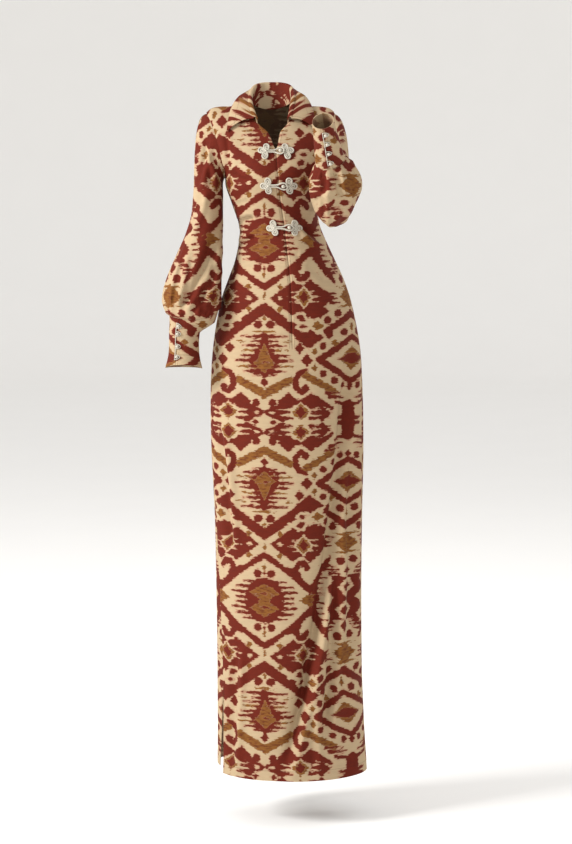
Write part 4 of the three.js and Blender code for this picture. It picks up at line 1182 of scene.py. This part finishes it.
@cache
def cord_material():
    n = Nodes("cord")
    place = n.add("ShaderNodeTexCoord").outputs["Object"]
    speckle = n.noise(place, 900.0, 2.0)
    colour = n.mix(speckle, rgba("cord", 0.82), rgba("cord", 1.08))
    wave = n.add(
        "ShaderNodeTexWave", {"Vector": place, "Scale": 420.0, "Distortion": 1.5},
        bands_direction="DIAGONAL",
    ).outputs["Fac"]
    shader = n.finish(colour, 0.55, wave, 0.00025)
    shader.inputs["Specular IOR Level"].default_value = 0.35
    return n.material


# Cords, knots and buttons

def round_faces(count, sides, closed):
    """Faces of a round form from its rings of points, with ends where it isn't closed."""
    index = np.arange(count * sides).reshape(count, sides)
    wide = np.hstack([index, index[:, :1]])
    if closed:
        wide = np.vstack([wide, wide[:1]])
    quads = np.stack([wide[:-1, :-1], wide[1:, :-1], wide[1:, 1:], wide[:-1, 1:]], -1)
    ends = [] if closed else [index[0].tolist(), index[-1][::-1].tolist()]
    return quads.reshape(-1, 4).tolist() + ends


def tube(points, radius, closed, sides=12):
    """Vertices and faces of a round cord along points."""
    points = np.asarray(points, float)
    count = len(points)
    if closed:
        forward = np.roll(points, -1, 0) - np.roll(points, 1, 0)
    else:
        forward = np.gradient(points, axis=0)
    forward = unit(forward)
    side = unit(np.cross(forward, [0.0, -1.0, 0.0]))
    up = np.cross(side, forward)
    turn = 2 * math.pi * np.arange(sides) / sides
    radii = np.broadcast_to(np.asarray(radius, float), (count,))
    ring = (
        points[:, None]
        + side[:, None] * (np.cos(turn)[None, :, None] * radii[:, None, None])
        + up[:, None] * (np.sin(turn)[None, :, None] * radii[:, None, None])
    )
    return ring.reshape(-1, 3), round_faces(count, sides, closed)


def trim_piece(name, parts, node):
    """One piece from several closed parts."""
    vertices, faces = [], []
    for points, part_faces in parts:
        start = sum(len(v) for v in vertices)
        vertices.append(points)
        faces += [[i + start for i in face] for face in part_faces]
    mesh = bpy.data.meshes.new(name)
    mesh.from_pydata((np.vstack(vertices) * MM).tolist(), [], faces)
    mesh.polygons.foreach_set("use_smooth", np.full(len(mesh.polygons), True))
    mesh.materials.append(cord_material())
    mesh.update()
    made = linked(name, mesh)
    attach(made, "root")
    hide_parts(node)
    return made


def ball(centre, radius):
    """A round knot: a firm core with cord wound over it three ways."""
    rings, sides = 11, 18
    up = np.linspace(0.06, math.pi - 0.06, rings)[:, None]
    turn = 2 * math.pi * np.arange(sides)[None, :] / sides
    level = np.cos(up) + 0 * turn
    core = np.stack([np.sin(up) * np.cos(turn), np.sin(up) * np.sin(turn), level], -1)
    faces = round_faces(rings, sides, False)
    parts = [(centre + core.reshape(-1, 3) * radius * BALL["core"], faces)]
    t = np.linspace(0, 2 * math.pi, 60, endpoint=False)
    for tilt in BALL["tilts"]:
        ring = np.stack([np.cos(t), np.sin(t) * math.cos(tilt), np.sin(t) * math.sin(tilt)], -1)
        line = centre + ring * radius * BALL["ring"]
        parts.append(tube(line, radius * BALL["cord"], True, 8))
    return parts


def on_front(z, across, up, out):
    """A point on the front near the opening."""
    height = np.asarray(z + up, float)
    angle = angle_at(front_edge_x(height) + across, height)
    point = body_point(angle, height, False)
    return point + body_normal(angle, height) * np.asarray(out, float)[..., None]


def trefoil(z, turn, sign):
    lift = CORD / 2 + FROG["clear"]
    t = np.linspace(0, 2 * math.pi, 36, endpoint=False)
    parts = []
    for heading in (86, 0, -86):
        c, s = math.cos(math.radians(heading + turn)), math.sin(math.radians(heading + turn))
        reach = FROG["lobe"] / 2 * (1 - np.cos(t))
        wide = FROG["wide"] / 2 * np.sin(t) * (0.7 + 0.3 * (1 - np.cos(t)))
        for share, thick in ((1.0, 0.5), (0.42, 0.42)):
            along_it = FROG["lobe"] * 0.54 * (1 - share) + reach * share
            across, up = along_it * c - wide * share * s, along_it * s + wide * share * c
            line = on_front(z, sign * (FROG["reach"] + across), up, lift + 0.5 * np.cos(t))
            parts.append(tube(line, CORD * thick, True))
    centre = on_front(z, np.array(sign * FROG["reach"], float), 0.0, lift + 0.8)
    return parts + ball(centre, CORD * 0.8)


def frog(i):
    z, turn = FROGS["z"][i], FROGS["turn"][i]
    half = along(FROG_LOOP, np.linspace(0, 1, 30))
    upper = on_front(z, half["along"], half["wide"], half["out"])
    lower = on_front(z, half["along"], -half["wide"], half["out"])[::-1][1:]
    loop = tube(np.vstack([upper, lower]), CORD / 2 - 0.2, False)
    trim_piece(f"frog_{i + 1}_loop_cord", trefoil(z, turn, -1) + [loop], f"frog_{i + 1}_loop")
    line = on_front(z, FROG_SHANK["along"], 0 * FROG_SHANK["along"], FROG_SHANK["out"])
    shank = tube(line, CORD / 2, False)
    knot = ball(on_front(z, np.array(9.6), 0.0, 6.8), FROG["knot"])
    trim_piece(
        f"frog_{i + 1}_knot_cord", trefoil(z, turn, 1) + [shank] + knot, f"frog_{i + 1}_knot"
    )


def cuff_place(side, share):
    rings = cuff_rings(side)
    turn = 2 * math.pi * CUFF_SLIT_TURN[side]
    count = len(rings["x"]) - 1
    before = min(int(share * count), count - 1)
    frames = ring_frames(rings, np.array([before, before + 1]) / count, side)
    points = ring_points(frames, np.array([turn, turn + 0.05]))
    blend = share * count - before
    point = points[0, 0] * (1 - blend) + points[1, 0] * blend
    beside = points[0, 1] * (1 - blend) + points[1, 1] * blend
    around = unit(beside - point)
    forward = unit(points[1, 0] - points[0, 0])
    out = unit(np.cross(around, forward))
    if np.dot(out, point - frames[1][0]) < 0:
        out = -out
    return point, out, around, forward


def cuff_trim(side):
    for i, share in enumerate(CUFF_BUTTONS[side]):
        point, out, around, _ = cuff_place(side, share)
        height = CUFF_BUTTON_RADIUS + BUTTON_SEAT["lift"]
        centre = point + out * height + around * BUTTON_SEAT["beside"]
        node = f"cuff_{side}_button_{i + 1}"
        trim_piece(f"{node}_ball", ball(centre, CUFF_BUTTON_RADIUS), node)
    radius, lift = CUFF_LOOP["cord"], CUFF_LOOP["lift"]
    shares = CUFF_BUTTONS[side]
    strip = []
    for share in np.linspace(shares[0] - 0.06, shares[-1] + 0.06, 9):
        point, out, around, _ = cuff_place(side, share)
        strip.append(point + out * lift - around * CUFF_LOOP["behind"])
    parts = [tube(strip, radius, False, 8)]
    turn = np.linspace(0, math.pi, 17)
    across = -CUFF_LOOP["start"] + CUFF_LOOP["reach"] * np.sin(turn)
    along_cuff = CUFF_LOOP["half"] * np.cos(turn)
    for share in shares:
        point, out, around, forward = cuff_place(side, share)
        line = point + out * lift + around * across[:, None] + forward * along_cuff[:, None]
        parts.append(tube(line, radius, False, 8))
    trim_piece(f"cuff_{side}_loops_cord", parts, f"cuff_{side}_loops")


# Stage, light and camera

FLOOR = {"drop": 105, "flat": 11.5, "bend": 2.6, "top": 2.2, "around": 96}


def set_stage():
    """A pale floor, level as far as any view stands off, that rises all round far behind it."""
    low = (HEM_Z - FLOOR["drop"]) * MM
    profile = [(0.01, low), (2.0, low), (6.0, low), (FLOOR["flat"], low)]
    for degrees in range(6, 91, 6):
        a = math.radians(degrees)
        out = FLOOR["flat"] + FLOOR["bend"] * math.sin(a)
        profile.append((out, low + FLOOR["bend"] * (1 - math.cos(a))))
    profile.append((FLOOR["flat"] + FLOOR["bend"], FLOOR["top"]))
    count = FLOOR["around"]
    turns = [2 * math.pi * i / count for i in range(count)]
    points = [(r * math.cos(t), r * math.sin(t), z) for r, z in profile for t in turns]
    faces = [list(range(count))]
    for ring in range(len(profile) - 1):
        for i in range(count):
            a, b = ring * count + i, ring * count + (i + 1) % count
            faces.append([a, b, b + count, a + count][::-1])
    mesh = bpy.data.meshes.new("floor")
    mesh.from_pydata(points, [], faces)
    mesh.polygons.foreach_set("use_smooth", [True] * len(faces))
    n = Nodes("floor")
    grain = n.noise(n.add("ShaderNodeTexCoord").outputs["Object"], 3.0)
    colour = n.mix(grain, rgba("floor", 0.99), rgba("floor", 1.01))
    n.finish(colour, 0.9, grain, 0.001)
    mesh.materials.append(n.material)
    mesh.update()
    linked("floor", mesh)


def set_light():
    world = bpy.data.worlds.new("studio")
    bpy.context.scene.world = world
    world.use_nodes = True
    background = world.node_tree.nodes["Background"]
    background.inputs["Color"].default_value = (1, 0.99, 0.98, 1)
    background.inputs["Strength"].default_value = 0.85
    aim = Vector((0.03, 0, -0.65))
    for name, at, size, power in (
        ("key", (-3.8, -1.8, 1.5), 1.5, 265),
        ("fill", (3.2, -3.4, 0.2), 3.0, 20),
        ("rim", (1.8, 2.4, 2.0), 2.0, 30),
    ):
        light = bpy.data.lights.new(name, "AREA")
        light.size = size
        light.energy = power
        lamp = linked(name, light)
        lamp.location = at
        lamp.rotation_euler = (aim - Vector(at)).to_track_quat("-Z", "Y").to_euler()


CAMERA = {"x": 34, "distance": 5000, "z": -200, "target_z": -700, "lens": 97.4}


def set_camera():
    camera = bpy.data.cameras.new("camera")
    camera.sensor_width = 36
    camera.lens = CAMERA["lens"]
    eye = linked("camera", camera)
    at = Vector((CAMERA["x"], -CAMERA["distance"], CAMERA["z"])) * MM
    to = Vector((CAMERA["x"], 0, CAMERA["target_z"])) * MM
    eye.location = at
    eye.rotation_euler = (to - at).to_track_quat("-Z", "Y").to_euler()
    bpy.context.scene.camera = eye


set_camera()
set_light()
set_stage()
bpy.context.scene.view_settings.view_transform = "Standard"

cloth = {"back": back_panel(), "collar": collar()}
for side in SIDES:
    cloth[f"front_{side}"] = front_panel(side)
    cloth[f"sleeve_{side}"] = sleeve(side)
    cloth[f"cuff_{side}"] = cuff(side)
    cuff_trim(side)
for i in range(3):
    frog(i)

# The cut of what shows, flat, in metres: width and length, and the area where it isn't a rectangle
# Columns: piece, width, length, area, how it is held.
CUTS = [
    ["back", 0.47, 1.49, 0.655, "hung"],
    ["front_right", 0.24, 1.48, 0.285, "hung"],
    ["front_left", 0.23, 1.48, 0.273, "hung"],
    ["collar", 0.46, 0.095, 0.0315, "folded"],
    ["sleeve_right", 0.40, 0.47, 0.118, "gathered"],
    ["sleeve_left", 0.36, 0.50, 0.100, "gathered"],
    ["cuff_right", 0.24, 0.145, 0.0305, "hung"],
    ["cuff_left", 0.19, 0.110, 0.0182, "hung"],
]

for piece, width, length, area, held in CUTS:
    kind, _, side = piece.partition("_")
